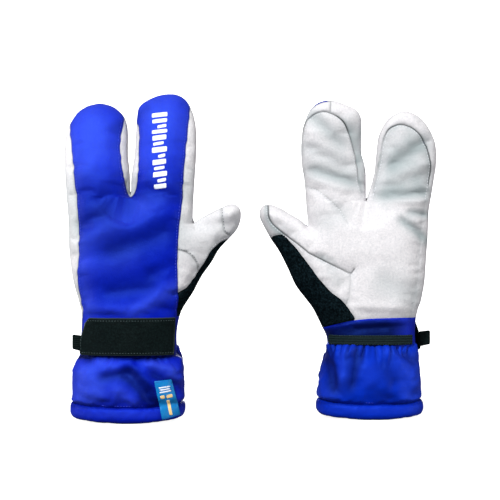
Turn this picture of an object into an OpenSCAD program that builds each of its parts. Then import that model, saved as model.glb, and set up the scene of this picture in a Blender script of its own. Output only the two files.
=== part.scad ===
// Pair of split-finger cuffed gloves, each on its open cuff with the fingers up.
// The first glove shows the back of the hand to -Y, the second shows the palm to -Y.
// Local frame of a glove: +X to the thumb, +Y to the palm, +Z to the fingertips.

/* [Pair] */
// Distance between the two cuff centres, across
pair_gap_x = 225; // [222:1:260]
// How far the second glove stands behind the first
pair_gap_y = 26; // [0:1:60]

/* [Fabric] */
// Thickness of the outer panels
shell_t = 1.6; // [1.2:0.1:2.2]
// Thickness of the fleece lining
liner_t = 3; // [2:0.1:3.6]
// Free space left at each seam
seam_gap = 0.3; // [0.2:0.05:0.5]
// Width of the side gussets that run round the fingers
gusset_w = 17; // [12:1:20]

/* [Cuff] */
// Width of the cuff at the hem
hem_w = 107; // [104:1:112]
// Depth of the cuff at the hem
hem_d = 66; // [62:1:70]
// Height of the padded hem roll
hem_h = 14; // [10:1:16]
// Wall of the padded hem roll
hem_t = 8; // [6.5:0.5:9]
// Width of the glove at the wrist
wrist_w = 91; // [88:1:96]
// Depth of the glove at the wrist
wrist_d = 52; // [50:1:54]

/* [Strap] */
// Lowest edge of the wrist strap
strap_z = 63; // [60:1:66]
// Height of the wrist strap
strap_h = 35; // [28:1:35]
// Thickness of the strap webbing
strap_t = 2.2; // [1.6:0.1:2.6]

/* [Hand] */
// Height of the wrist crease
wrist_z = 107; // [105:1:109]
// Height of the crease at the base of the fingers
knuckle_z = 212; // [208:1:214]
// Width of the hand below the fingers
hand_w = 113; // [108:1:116]
// Depth of the hand
hand_d = 48; // [46:1:50]

/* [Fingers] */
// Width of each two-finger lobe
lobe_w = 58; // [54:1:59]
// Depth of each lobe at its base
lobe_d = 37; // [34:1:39]
// Height of the index and middle finger tip
index_top = 303; // [300:1:312]
// Height of the ring and little finger tip
outer_top = 295; // [290:1:304]
// How far the finger tips curve towards the palm
tip_curve = 12; // [4:1:14]
// Outward lean of the lobes on the first and second glove
lobe_lean = [2, 4.5];

/* [Thumb] */
// Depth of the thumb
thumb_d = 28; // [26:1:30]

/* [Hidden] */
NODES = [
  "a_cuff_back_panel", "a_cuff_palm_panel", "a_cuff_hem_roll", "a_cuff_liner",
  "a_wrist_elastic", "a_strap_loop_patch", "a_strap_band", "a_strap_hook_patch",
  "a_strap_pull_tab", "a_hem_tag",
  "a_hand_back_panel", "a_hand_palm_panel", "a_hand_outer_gusset", "a_hand_thumb_gusset",
  "a_hand_fleece_gusset", "a_hand_liner",
  "a_index_back_panel", "a_index_palm_panel", "a_index_gusset", "a_index_liner",
  "a_outer_back_panel", "a_outer_palm_panel", "a_outer_gusset", "a_outer_liner",
  "a_thumb_back_panel", "a_thumb_palm_panel", "a_thumb_tip_patch", "a_thumb_fleece_gusset",
  "a_thumb_liner",
  "b_cuff_back_panel", "b_cuff_palm_panel", "b_cuff_hem_roll", "b_cuff_liner",
  "b_wrist_elastic", "b_strap_loop_patch", "b_strap_band", "b_strap_hook_patch",
  "b_strap_pull_tab", "b_hem_tag",
  "b_hand_back_panel", "b_hand_palm_panel", "b_hand_outer_gusset", "b_hand_thumb_gusset",
  "b_hand_fleece_gusset", "b_hand_liner",
  "b_index_back_panel", "b_index_palm_panel", "b_index_gusset", "b_index_liner",
  "b_outer_back_panel", "b_outer_palm_panel", "b_outer_gusset", "b_outer_liner",
  "b_thumb_back_panel", "b_thumb_palm_panel", "b_thumb_tip_patch", "b_thumb_fleece_gusset",
  "b_thumb_liner"
];

blue = "#2238d8";
white = "#ece9ea";
black = "#14201f";
fleece = "#c9ccd4";
elastic = "#2b3b39";
tag_blue = "#0d86c4";

$fn = 48;
section_corners = 28;
far = 200;                            // reach of the cutting solids
pair_shift_x = -2.45;                 // centres the pair on its overall width
liner_out = shell_t + seam_gap;       // outside of the shell to the outside of the lining
liner_in = liner_out + liner_t;       // outside of the shell to the inside of the lining
joint_gap = 0.6;                      // free space at the wrist and knuckle joints
thumb_gap = 0.8;                      // free space round the thumb's root
half_gusset = gusset_w / 2;
wrist_r = wrist_d / 2 - 1;
knuckle_r = lobe_d / 2;
thumb_r = thumb_d / 2;
thumb_x = 62;                         // thumb hinge line
thumb_y = 2;
palm_flex = 62;                       // finger clearance angle towards the palm
back_flex = 12;                       // finger clearance angle towards the back
wrist_flex = 27;                      // wrist clearance angle both ways

// ---------- shared shapes ----------
// Rounded section: a superellipse of width w and depth d about (cx, cy)
function rounded(w, d, squareness, cx = 0, cy = 0) = [
  for (i = [0:section_corners - 1])
    let (a = 360 * (i + 0.5) / section_corners, c = cos(a), s = sin(a))
      [cx + w / 2 * sign(c) * pow(abs(c), 2 / squareness),
       cy + d / 2 * sign(s) * pow(abs(s), 2 / squareness)]
];

// Closed outline from levels [z, low, high], with both sides moved in by inset
function outline(levels, inset = 0) = concat(
  [for (q = levels) [q[1] + inset, q[0]]],
  [for (i = [len(levels) - 1:-1:0]) [levels[i][2] - inset, levels[i][0]]]);
// Levels [z, low, high] from levels [z, half width]
function even(levels) = [for (q = levels) [q[0], -q[1], q[1]]];

// Prism along Y from an outline in (x, z)
module prism_y(points, y0 = -far, y1 = far) {
  translate([0, y1, 0]) rotate([90, 0, 0]) linear_extrude(y1 - y0) polygon(points);
}
// Prism along X from an outline in (y, z)
module prism_x(points) {
  translate([-far, 0, 0]) rotate([90, 0, 90]) linear_extrude(2 * far) polygon(points);
}
// Everything from y0 to y1
module slab(y0, y1, height = 2 * far) {
  translate([-far, y0, 0]) cube([2 * far, y1 - y0, height]);
}
// Everything above height z, with a round lower end of radius r along X
module round_end(r, z) {
  translate([-far, 0, z]) rotate([0, 90, 0]) cylinder(h = 2 * far, r = r);
  translate([-far, -far, z]) cube([2 * far, 2 * far, far]);
}

// Stands glove 0 or 1 in its place in the pair
module glove_place(glove) {
  if (glove == 0)
    translate([pair_shift_x - pair_gap_x / 2, -pair_gap_y / 2, 0]) children();
  else
    translate([pair_shift_x + pair_gap_x / 2, pair_gap_y / 2, 0])
      rotate([0, 0, 180]) children();
}

// ---------- cuff ----------
cuff_half_w = hem_w / 2 - 1.5;        // the cuff stands in from the hem roll
cuff_half_d = hem_d / 2 - 1.5;
wrist_half_w = wrist_w / 2;
wrist_half_d = wrist_d / 2;
cuff_square = 2.8;
cuff_top = 112;
cuff_seam_y = 6;                      // seam between the back and palm panels
hem_edge_h = 2.5;                     // height of the roll's stepped edges
hem_edge_in = 4;                      // how much narrower those edges are
tag_size = [16, 1, 38];

module cuff_core(inset, z0, z1) {
  intersection() {
    translate([0, 0, z0]) linear_extrude(z1 - z0)
      polygon(rounded(2 * cuff_half_w - 2 * inset, 2 * cuff_half_d - 2 * inset, cuff_square));
    prism_y(outline(even([
      [z0 - 1, cuff_half_w], [38, cuff_half_w], [50, cuff_half_w - 3],
      [61, wrist_half_w], [z1 + 1, wrist_half_w]]), inset));
    prism_x(outline(even([
      [z0 - 1, cuff_half_d], [38, cuff_half_d], [50, cuff_half_d - 2],
      [61, wrist_half_d], [z1 + 1, wrist_half_d]]), inset));
  }
}
// Room that the hand needs as it bends at the wrist
module wrist_room() {
  depth = wrist_half_d + 1.5;
  round_end(wrist_r + joint_gap, wrist_z);
  for (side = [-1, 1])
    translate([0, 0, wrist_z]) rotate([-side * wrist_flex, 0, 0])
      translate([-far, side > 0 ? 0 : -depth, 0]) cube([2 * far, depth, far]);
}
// One layer of the cuff, between two insets from its outside
module cuff_layer(outer, inner) {
  difference() {
    cuff_core(outer, hem_h + seam_gap, cuff_top);
    cuff_core(inner, hem_h - 1, cuff_top + 1);
    wrist_room();
  }
}
module cuff_back_panel() {
  color(blue) intersection() {
    cuff_layer(0, shell_t);
    slab(-far, cuff_seam_y - seam_gap, far);
  }
}
module cuff_palm_panel() {
  color(blue) intersection() {
    cuff_layer(0, shell_t);
    slab(cuff_seam_y, cuff_seam_y + far, far);
  }
}
module cuff_liner() { color(fleece) cuff_layer(liner_out, liner_in); }

// Roll with a flat foot, stepped in at its lower and upper edges
module cuff_hem_roll() {
  // layers: [bottom, height, amount narrower]
  layers = [
    [0, hem_edge_h, hem_edge_in],
    [hem_edge_h, hem_h - 2 * hem_edge_h, 0],
    [hem_h - hem_edge_h, hem_edge_h, hem_edge_in]
  ];
  color(blue) difference() {
    union() {
      for (q = layers)
        translate([0, 0, q[0]]) linear_extrude(q[1])
          polygon(rounded(hem_w - q[2], hem_d - q[2], cuff_square));
    }
    translate([0, 0, -1]) linear_extrude(hem_h + 2)
      polygon(rounded(hem_w - 2 * hem_t, hem_d - 2 * hem_t, cuff_square));
  }
}
// Thin upright tag at the hem, on the back of the glove, turned and tilted
module hem_tag() {
  color(tag_blue) translate([34.5, -hem_d / 2 + 1.9, 0])
    rotate([0, 0, 16]) rotate([0, -12, 0])
      translate([-tag_size.x / 2, -tag_size.y, 4]) cube(tag_size);
}

// The wrist's section grown outwards
module wrist_core(grow, z0, z1) {
  intersection() {
    translate([0, 0, z0]) linear_extrude(z1 - z0)
      polygon(rounded(2 * cuff_half_w + 2 * grow, 2 * cuff_half_d + 2 * grow, cuff_square));
    translate([-wrist_half_w - grow, -wrist_half_d - grow, z0])
      cube([2 * (wrist_half_w + grow), 2 * (wrist_half_d + grow), z1 - z0]);
  }
}
// Flat band of thickness t hugging the wrist at a distance
module wrist_band(away, t, z0, z1) {
  difference() {
    wrist_core(away + t, z0, z1);
    wrist_core(away, z0 - 1, z1 + 1);
  }
}
// Band round the palm side of the wrist
module wrist_elastic() {
  color(elastic) intersection() {
    wrist_band(0.3, 1.2, 70.5, 80.5);
    slab(2, far + 2, far);
  }
}

// ---------- strap ----------
// The loop patch, hook patch and strap lie over one another on the back of the wrist
patch_t = 1;
ply_gap = 0.25;
loop_away = 0.3;
hook_away = loop_away + patch_t + ply_gap;
strap_away = hook_away + patch_t + ply_gap;
strap_top = strap_z + strap_h;
strap_end_x = -43.5;                  // free end
strap_hinge = [44.5, -28.6];
strap_hinge_r = 2.2;
tab_size = [10, 1.6, 14];
tab_gap = 0.9;
// The strap's face in (x, z), rounded at its free end
strap_face = [
  [strap_hinge.x, strap_z], [strap_hinge.x, strap_top],
  [strap_end_x + 9, strap_top], [strap_end_x + 5, strap_top - 1.5],
  [strap_end_x + 2.5, strap_top - 5], [strap_end_x, strap_z + 21],
  [strap_end_x, strap_z + 5], [strap_end_x + 1, strap_z + 2], [strap_end_x + 3, strap_z]
];

module strap_patch(away, x0, w) {
  intersection() {
    wrist_band(away, patch_t, strap_z + 2, strap_top - 4);
    translate([x0, -far, 0]) cube([w, far, far]);
  }
}
module strap_loop_patch() { color(black) strap_patch(loop_away, -38, 64); }
module strap_hook_patch() { color(black) strap_patch(hook_away, -37, 42); }
module strap_band() {
  color(black) union() {
    intersection() {
      wrist_band(strap_away, strap_t, strap_z, strap_top);
      prism_y(strap_face, -far, -12);
    }
    translate([strap_hinge.x, strap_hinge.y, strap_z])
      cylinder(h = strap_h, r = strap_hinge_r);
  }
}
// Flat tab just beyond the strap's free end
module strap_pull_tab() {
  color(black) translate([strap_end_x - tab_gap - tab_size.x, -29, strap_z + 5])
    cube(tab_size);
}

// ---------- hand ----------
thumb_room_z = 116;
thumb_room_h = 82;
hand_gusset_x = 20;                   // the side gussets lie beyond this, either way

module hand_core(inset, z0 = 70, z1 = 240) {
  half_w = hand_w / 2;
  half_d = hand_d / 2;
  intersection() {
    translate([0, 0, z0]) linear_extrude(z1 - z0)
      polygon(rounded(hand_w + 3 - 2 * inset, hand_d + 4 - 2 * inset, 2.7, 0.5));
    prism_y(outline([
      [z0 - 1, -wrist_half_w, wrist_half_w], [wrist_z, -wrist_half_w, wrist_half_w],
      [125, -50, 49], [150, -53.5, 51], [178, -55.5, 54],
      [200, -half_w, half_w + 2], [z1 + 1, -half_w - 1, half_w + 3]], inset));
    prism_x(outline(even([
      [z0 - 1, wrist_half_d], [wrist_z, wrist_half_d], [125, half_d],
      [178, half_d - 1], [knuckle_z, lobe_d / 2], [z1 + 1, lobe_d / 2]]), inset));
  }
}
// Room that a lobe needs as it bends
module knuckle_room() {
  r = knuckle_r + joint_gap;
  round_end(r, knuckle_z);
  translate([0, 0, knuckle_z]) rotate([-palm_flex, 0, 0])
    translate([-far, 0, 0]) cube([2 * far, r, far]);
  translate([0, 0, knuckle_z]) rotate([back_flex, 0, 0])
    translate([-far, -r, 0]) cube([2 * far, r, far]);
}
// Room for the thumb's root, and its way through into the hand
module thumb_room() {
  translate([thumb_x, thumb_y, thumb_room_z])
    cylinder(h = thumb_room_h, r = thumb_r + thumb_gap);
  translate([thumb_x, thumb_y - far / 2, thumb_room_z]) cube([far, far, thumb_room_h]);
}
// One layer of the hand, between two insets from its outside
module hand_layer(outer, inner) {
  intersection() {
    difference() {
      hand_core(outer);
      hand_core(inner, 60, 250);
      knuckle_room();
      thumb_room();
    }
    round_end(wrist_r, wrist_z);
  }
}
// Corner of the palm, low on the thumb side, in (x, z)
function fleece_corner(gap) = [
  [16 + gap, 60], [16 + gap, 97 - gap], [26 + gap, 108 - gap], [42 + gap, 130 - gap],
  [49 + gap, 152 - gap], [120, 152 - gap], [120, 60]
];

module hand_back_panel() {
  color(blue) intersection() {
    hand_layer(0, shell_t);
    slab(-far, -half_gusset);
  }
}
// The palm panel, less the corner that the fleece gusset fills
module hand_palm_panel() {
  color(white) difference() {
    intersection() {
      hand_layer(0, shell_t);
      slab(half_gusset, far);
    }
    prism_y(fleece_corner(0), 0, far);
  }
}
module hand_gusset(x0) {
  intersection() {
    hand_layer(0, shell_t);
    slab(-half_gusset + seam_gap, half_gusset - seam_gap);
    translate([x0, -far, 0]) cube([far, 2 * far, 2 * far]);
  }
}
module hand_outer_gusset() { color(white) hand_gusset(-far - hand_gusset_x); }
module hand_thumb_gusset() { color(white) hand_gusset(hand_gusset_x); }
module hand_fleece_gusset() {
  color(black) intersection() {
    hand_layer(0, shell_t);
    slab(half_gusset, far);
    prism_y(fleece_corner(seam_gap), 0, far);
  }
}
module hand_liner() { color(fleece) hand_layer(liner_out, liner_in); }

// ---------- finger lobes ----------
// side = 1 is index and middle, -1 is ring and little
// Levels u run from 0 at the knuckle to 1 at the tip
lobe_levels = [-0.3, 0, 0.2, 0.4, 0.55, 0.68, 0.78, 0.86, 0.92, 0.96, 0.985];
zone_bottom = 100;
zone_top = 400;

function lobe_top(side) = side > 0 ? index_top : outer_top;
function lobe_x(side, glove) = (side > 0 ? 31 : -29) + (glove == 0 ? 0 : side * 2.4);
function level_z(side, u, inset = 0) = knuckle_z + u * (lobe_top(side) - knuckle_z - inset);
function curve_y(u) = tip_curve * u * u;
// 1 up to level start, then rounding off to 0 at the tip
function round_off(u, start, power) =
  u < start ? 1 : sqrt(max(0, 1 - pow((u - start) / (1 - start), power)));
function width_scale(u) = round_off(u, 0.62, 2.6);
function depth_scale(u) = (1 - 0.12 * u) * round_off(u, 0.72, 2.4);

module lobe_core(side, glove, inset) {
  half_w = lobe_w / 2 - inset;
  half_d = lobe_d / 2 - inset;
  cx = lobe_x(side, glove);
  intersection() {
    translate([cx, 0, knuckle_z]) rotate([0, side * lobe_lean[glove], 0])
      translate([-cx, 0, -knuckle_z]) intersection() {
        translate([0, 0, knuckle_z - 30]) linear_extrude(160)
          polygon(rounded(2 * half_w, 2 * half_d + 24, 3.4, cx, 4));
        prism_y(outline([for (u = lobe_levels) let (w = half_w * width_scale(u))
          [level_z(side, u, inset), cx - w, cx + w]]));
      }
    prism_x(outline([for (u = lobe_levels)
      let (c = curve_y(max(u, 0)), d = half_d * depth_scale(max(u, 0)))
        [level_z(side, u, inset), c - d, c + d]]));
  }
}
// Keeps the two lobes apart below the crotch, where they would share the hand's middle
module lobe_lane(side) {
  translate([side > 0 ? 1.8 : -far - 0.2, -far, 0]) cube([far - 1.6, 2 * far, 2 * far]);
}
// One layer of a lobe, between two insets from its outside
module lobe_layer(side, glove, outer, inner) {
  intersection() {
    difference() {
      lobe_core(side, glove, outer);
      lobe_core(side, glove, inner);
    }
    round_end(knuckle_r, knuckle_z);
    lobe_lane(side);
  }
}

// Seam in (y, z) that follows the lobe's curve, moved by shift along Y
function seam_line(side, shift, order) = [for (i = order) let (u = lobe_levels[i])
  [curve_y(max(u, 0)) + shift, level_z(side, u)]];
// The two seams: up the back side, and down the palm side from below the tip
function back_seam(side, gap) = concat(
  seam_line(side, -half_gusset + gap, [0:len(lobe_levels) - 1]),
  [[curve_y(1) - half_gusset + gap, zone_top]]);
function palm_seam(side, gap) = concat(
  [[far, tip_seam_z(side) + gap],
   [curve_y(0.85) + half_gusset - gap, tip_seam_z(side) + gap]],
  seam_line(side, half_gusset - gap, [6:-1:0]));
function tip_seam_z(side) = lobe_top(side) - 14;

module lobe_back_panel(side, glove) {
  color(blue) intersection() {
    lobe_layer(side, glove, 0, shell_t);
    prism_x(concat([[-far, zone_bottom]], back_seam(side, 0), [[-far, zone_top]]));
  }
}
// The gusset also takes the palm side of the tip
module lobe_gusset(side, glove) {
  color(white) intersection() {
    lobe_layer(side, glove, 0, shell_t);
    prism_x(concat(back_seam(side, seam_gap), [[far, zone_top]], palm_seam(side, seam_gap)));
  }
}
module lobe_palm_panel(side, glove) {
  color(white) intersection() {
    lobe_layer(side, glove, 0, shell_t);
    prism_x(concat([[far, zone_bottom]], palm_seam(side, 0)));
  }
}
module lobe_liner(side, glove) { color(fleece) lobe_layer(side, glove, liner_out, liner_in); }

// ---------- thumb ----------
thumb_seam_y = thumb_y - 4;           // seam between the back and palm panels
tip_patch_x = 88;
// Root, lower edge, tip and upper edge: [x, z, x shift, z shift], shifts per mm of inset
thumb_edge = [
  [40, 118, 0, 1], [62, 122, 0, 1], [66, 127, -1, 1], [72, 137, -1, 1],
  [78, 147, -1, 0.5], [82, 157, -1, 0.5], [88, 165, -0.7, 0.7], [96, 173, -0.7, 0.7],
  [101.5, 181, -1, 1 / 3], [104, 189, -1, 0], [104, 197, -1, -0.5], [100, 203, -0.8, -1],
  [93, 205, -1 / 3, -1], [86, 203, 0.25, -1], [76, 198.5, 0.25, -1], [66, 193, 0, -1],
  [40, 189, 0, -1]
];
// Half of the thumb seen from above, as [x, half depth]; the tip narrows
function thumb_plan(inset) = [
  [30, thumb_r - inset], [84, thumb_r - inset],
  [96 - inset / 2, thumb_r - 3 - inset], [104 - inset, thumb_r - 9 - inset / 2]
];
// Strip along the thumb's lower edge, in (x, z)
function thumb_strip(gap) = [
  [30, 100], [30, 122 - gap], [63, 128 - gap], [72, 143 - gap], [78 + gap, 158 - gap],
  [86 + gap, 169 - gap], [94, 177 - 2 * gap], [120, 150], [110, 100]
];

module thumb_core(inset) {
  r = thumb_r - inset;
  plan = thumb_plan(inset);
  intersection() {
    prism_y([for (q = thumb_edge) [q[0] + q[2] * inset, q[1] + q[3] * inset]],
      thumb_y - r, thumb_y + r);
    union() {
      translate([thumb_x, thumb_y - far, 0]) cube([far, 2 * far, 2 * far]);
      translate([thumb_x, thumb_y, 0]) cylinder(h = 2 * far, r = r);
    }
    linear_extrude(2 * far) polygon(concat(
      [for (q = plan) [q.x, thumb_y - q.y]],
      [for (i = [len(plan) - 1:-1:0]) [plan[i].x, thumb_y + plan[i].y]]));
  }
}
// One layer of the thumb, open at its root towards the hand
module thumb_layer(outer, inner) {
  r = thumb_r - inner;
  difference() {
    thumb_core(outer);
    union() {
      thumb_core(inner);
      translate([thumb_x - 30, thumb_y - r, 122.5 + inner]) cube([34, 2 * r, 66.5 - 2 * inner]);
    }
  }
}
module thumb_tip_zone(x0) { translate([x0, -far, 160]) cube([50, 2 * far, 60]); }

module thumb_back_panel() {
  color(white) difference() {
    intersection() {
      thumb_layer(0, shell_t);
      slab(-far, thumb_seam_y);
    }
    prism_y(thumb_strip(0));
    thumb_tip_zone(tip_patch_x);
  }
}
module thumb_tip_patch() {
  color(white) difference() {
    intersection() {
      thumb_layer(0, shell_t);
      slab(-far, thumb_seam_y);
      thumb_tip_zone(tip_patch_x + seam_gap);
    }
    prism_y(thumb_strip(0));
  }
}
module thumb_palm_panel() {
  color(white) difference() {
    intersection() {
      thumb_layer(0, shell_t);
      slab(thumb_seam_y + seam_gap, far);
    }
    prism_y(thumb_strip(0));
  }
}
module thumb_fleece_gusset() {
  color(black) intersection() {
    thumb_layer(0, shell_t);
    prism_y(thumb_strip(seam_gap));
  }
}
module thumb_liner() { color(fleece) thumb_layer(liner_out, liner_in); }

// ---------- nodes ----------
module piece(name, glove) {
  glove_place(glove) {
    if (name == "cuff_back_panel") cuff_back_panel();
    if (name == "cuff_palm_panel") cuff_palm_panel();
    if (name == "cuff_hem_roll") cuff_hem_roll();
    if (name == "cuff_liner") cuff_liner();
    if (name == "wrist_elastic") wrist_elastic();
    if (name == "strap_loop_patch") strap_loop_patch();
    if (name == "strap_band") strap_band();
    if (name == "strap_hook_patch") strap_hook_patch();
    if (name == "strap_pull_tab") strap_pull_tab();
    if (name == "hem_tag") hem_tag();
    if (name == "hand_back_panel") hand_back_panel();
    if (name == "hand_palm_panel") hand_palm_panel();
    if (name == "hand_outer_gusset") hand_outer_gusset();
    if (name == "hand_thumb_gusset") hand_thumb_gusset();
    if (name == "hand_fleece_gusset") hand_fleece_gusset();
    if (name == "hand_liner") hand_liner();
    if (name == "index_back_panel") lobe_back_panel(1, glove);
    if (name == "index_palm_panel") lobe_palm_panel(1, glove);
    if (name == "index_gusset") lobe_gusset(1, glove);
    if (name == "index_liner") lobe_liner(1, glove);
    if (name == "outer_back_panel") lobe_back_panel(-1, glove);
    if (name == "outer_palm_panel") lobe_palm_panel(-1, glove);
    if (name == "outer_gusset") lobe_gusset(-1, glove);
    if (name == "outer_liner") lobe_liner(-1, glove);
    if (name == "thumb_back_panel") thumb_back_panel();
    if (name == "thumb_palm_panel") thumb_palm_panel();
    if (name == "thumb_tip_patch") thumb_tip_patch();
    if (name == "thumb_fleece_gusset") thumb_fleece_gusset();
    if (name == "thumb_liner") thumb_liner();
  }
}
// Node names are a_ or b_ and the piece's name
function tail(s, i = 2, r = "") = i >= len(s) ? r : tail(s, i + 1, str(r, s[i]));
for (n = NODES) piece(tail(n), n[0] == "a" ? 0 : 1);
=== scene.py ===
"""A pair of padded split-finger gloves standing side by side on a pale floor.

Each glove is modelled in its own millimetres: x to the thumb, y to the palm, z up from the
hem. Glove a shows its back to the camera at -Y. Glove b is turned half round and shows its
palm. Each has a padded body with two finger lobes and a thumb, a cuff with a strap, a hem
roll, a wrist elastic and a hanging tag.
"""
import math
import bmesh
import bpy
import numpy as np
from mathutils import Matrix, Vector, noise
from mathutils.geometry import delaunay_2d_cdt
from mathutils.kdtree import KDTree

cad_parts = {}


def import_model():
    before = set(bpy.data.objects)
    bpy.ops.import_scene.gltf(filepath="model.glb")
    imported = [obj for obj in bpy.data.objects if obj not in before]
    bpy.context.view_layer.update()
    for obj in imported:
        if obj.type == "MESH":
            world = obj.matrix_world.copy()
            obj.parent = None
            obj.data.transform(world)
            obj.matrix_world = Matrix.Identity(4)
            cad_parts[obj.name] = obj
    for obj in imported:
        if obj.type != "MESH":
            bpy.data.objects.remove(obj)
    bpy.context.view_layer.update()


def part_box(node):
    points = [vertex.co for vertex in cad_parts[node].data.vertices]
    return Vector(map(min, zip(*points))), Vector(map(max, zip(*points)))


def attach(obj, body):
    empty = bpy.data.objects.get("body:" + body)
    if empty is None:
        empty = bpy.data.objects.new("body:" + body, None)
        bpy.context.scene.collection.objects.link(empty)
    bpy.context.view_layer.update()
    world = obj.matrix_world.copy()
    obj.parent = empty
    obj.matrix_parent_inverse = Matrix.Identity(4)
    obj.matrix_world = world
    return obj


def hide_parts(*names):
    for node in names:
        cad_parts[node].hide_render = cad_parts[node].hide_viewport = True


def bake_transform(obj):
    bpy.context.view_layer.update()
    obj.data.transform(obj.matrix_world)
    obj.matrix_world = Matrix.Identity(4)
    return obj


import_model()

SCENE = bpy.context.scene

# ------------------------------------------------------------------ main sizes, in glove mm
THUMB_X = 52.2                          # hand pieces end and thumb pieces start here
FORK_X = {"a": 2.4, "b": 3.4}           # between the outer lobe and the index lobe
LOBE_Z = {"a": 205.0, "b": 201.5}       # lobe pieces start here
BODY_Z0 = 64.0                          # the hand's cloth ends here, under the strap
DEPTH = [(60, 25.2), (107, 24.8), (130, 24), (178, 23), (205, 20.6), (225, 19), (260, 17.6),
         (305, 15.5)]                   # (z, half depth) of the hand
THUMB_DEPTH = 14.3
CURL = {"a": 18.0, "b": 21.0}           # how far the lobes curl to the palm
EDGE_REACH, EDGE_POWER = 1.12, 2.15     # rounding at the silhouette: reach per depth, power
SIGN = {"back": -1, "palm": 1}          # which way each side faces along y

# ------------------------------------------------------------------ outlines, (x, z)
SILHOUETTE = {
    "a": [
        (-43.7, 68.6), (-42.8, 78.7), (-42.3, 87.2), (-42.7, 99), (-45.2, 110), (-48.2, 120.1),
        (-50.6, 130.2), (-52.4, 143.1), (-54, 159.7), (-54.4, 181.8), (-55.6, 198.3),
        (-57, 214.9), (-58, 231.5), (-58.4, 248.1), (-57.9, 259.3), (-56.2, 267.7),
        (-53, 275.1), (-47.5, 283.4), (-39.5, 289.2), (-32.4, 291.5), (-25.8, 292.2),
        (-16.5, 289.8), (-9.4, 285.1), (-3.8, 278.1), (-1, 268.7), (-0.3, 257.4),
        (-0.1, 243.7), (1.1, 232.4), (1.9, 222.2), (2.1, 208.4), (2.7, 208.4), (3, 222.2),
        (4.4, 232.4), (5.8, 243.5), (6.7, 257.4), (7, 268.7), (7.4, 278.1), (9, 287.9),
        (14.7, 294), (23.9, 298.8), (30.5, 300.7), (36.1, 301.4), (42.6, 301.1), (48.2, 299),
        (53.6, 294.2), (57.8, 286.6), (60.6, 278.1), (62.7, 264), (62.7, 243.5), (61.6, 225),
        (60.4, 204.8), (59.8, 191), (60, 181.3), (64.4, 183.8), (70.5, 187.4), (78.2, 191.4),
        (85.4, 194.8), (92.9, 198), (98.9, 197.8), (103.1, 193.7), (104, 187.3),
        (102.7, 180.4), (99.2, 173.6), (93.5, 167.3), (87.9, 161.5), (83.1, 156),
        (77.4, 145.9), (72.2, 138.5), (68.2, 133), (64, 125.2), (60.2, 117.8), (54.8, 109.5),
        (50.2, 102.2), (47.5, 95.3), (45.6, 86.1), (44.7, 76.9), (45.1, 67.7)],
    "b": [
        (39.9, 65.8), (40.8, 75.2), (44.7, 83.3), (48.4, 91.1), (54.1, 102), (62.3, 112.7),
        (70, 123.2), (77.6, 139.6), (85.5, 155.1), (93.2, 166.5), (98.6, 176.2),
        (103.1, 185.1), (103.9, 191.3), (101.5, 196.6), (95.2, 199), (85.8, 196.1),
        (77.6, 191.4), (65.8, 184.4), (58.2, 178.1), (59.2, 189.8), (60.1, 201.1),
        (61.7, 221.8), (64.1, 235.8), (64.9, 252.6), (63.7, 268.2), (60.9, 277.3),
        (57.8, 284.6), (51.8, 290.9), (45.8, 293.6), (38.4, 294.5), (30.9, 293),
        (22.2, 289.8), (14, 285.8), (10, 280.1), (8.8, 272.8), (8.8, 259), (8.6, 247),
        (6.7, 240.5), (4.3, 230.2), (3.9, 220.9), (3.7, 203.5), (3.1, 203.5), (1.3, 209.6),
        (-1, 216.2), (-2.9, 223.7), (-4.5, 231.3), (-5.6, 247), (-7.1, 260.9), (-9.8, 268.2),
        (-14.2, 276), (-21.1, 281.7), (-27.9, 284.6), (-37.3, 283.6), (-46.7, 278),
        (-54, 269.4), (-59.2, 259), (-61.4, 249.8), (-61.7, 235.8), (-60.2, 224.3),
        (-57.3, 206.8), (-55.1, 193.6), (-54.4, 177.6), (-53.6, 162.6), (-52.4, 146.6),
        (-51, 126.9), (-48, 109.9), (-44.6, 99.6), (-42.7, 90.2), (-42, 78.9),
        (-42.4, 67.6)][::-1],
}
# matching points of the two gloves, which stand a little differently
MARKS = {
    "a": [
        (44.7, 76.9), (-42.8, 78.7), (-42.7, 99), (-50.6, 130.2), (-54, 159.7),
        (-55.6, 198.3), (-58, 231.5), (-56.2, 267.7), (-27, 292.2), (-3.8, 278.1),
        (-0.1, 243.7), (2.4, 206.5), (5.8, 243.5), (7, 272), (36.1, 301.4), (60.6, 278.1),
        (62.7, 243.5), (60.9, 212), (60, 181.3), (78.2, 191.4), (95.5, 198.2), (104, 187.3),
        (93.5, 167.3), (83.1, 156), (72.2, 138.5), (60.2, 117.8), (54.8, 109.5),
        (47.5, 95.3), (0, 150), (20, 180), (-25, 180), (0, 110)],
    "b": [
        (40.8, 75.2), (-42, 78.9), (-44.6, 99.6), (-51, 126.9), (-53.6, 162.6), (-56.3, 200),
        (-61.7, 235.8), (-57, 264), (-31.5, 284.6), (-9.8, 268.2), (-5, 239), (3.4, 201.5),
        (7.5, 243), (9.2, 275), (38.4, 294.5), (60.9, 277.3), (64.6, 245), (60.9, 211),
        (58.2, 178.1), (77.6, 191.4), (95.2, 199), (103.9, 191.3), (93.2, 166.5),
        (85.5, 155.1), (77.6, 139.6), (66.5, 118), (54.1, 102), (46.5, 87), (0, 150),
        (20, 178), (-26, 178), (0, 110)],
}
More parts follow.
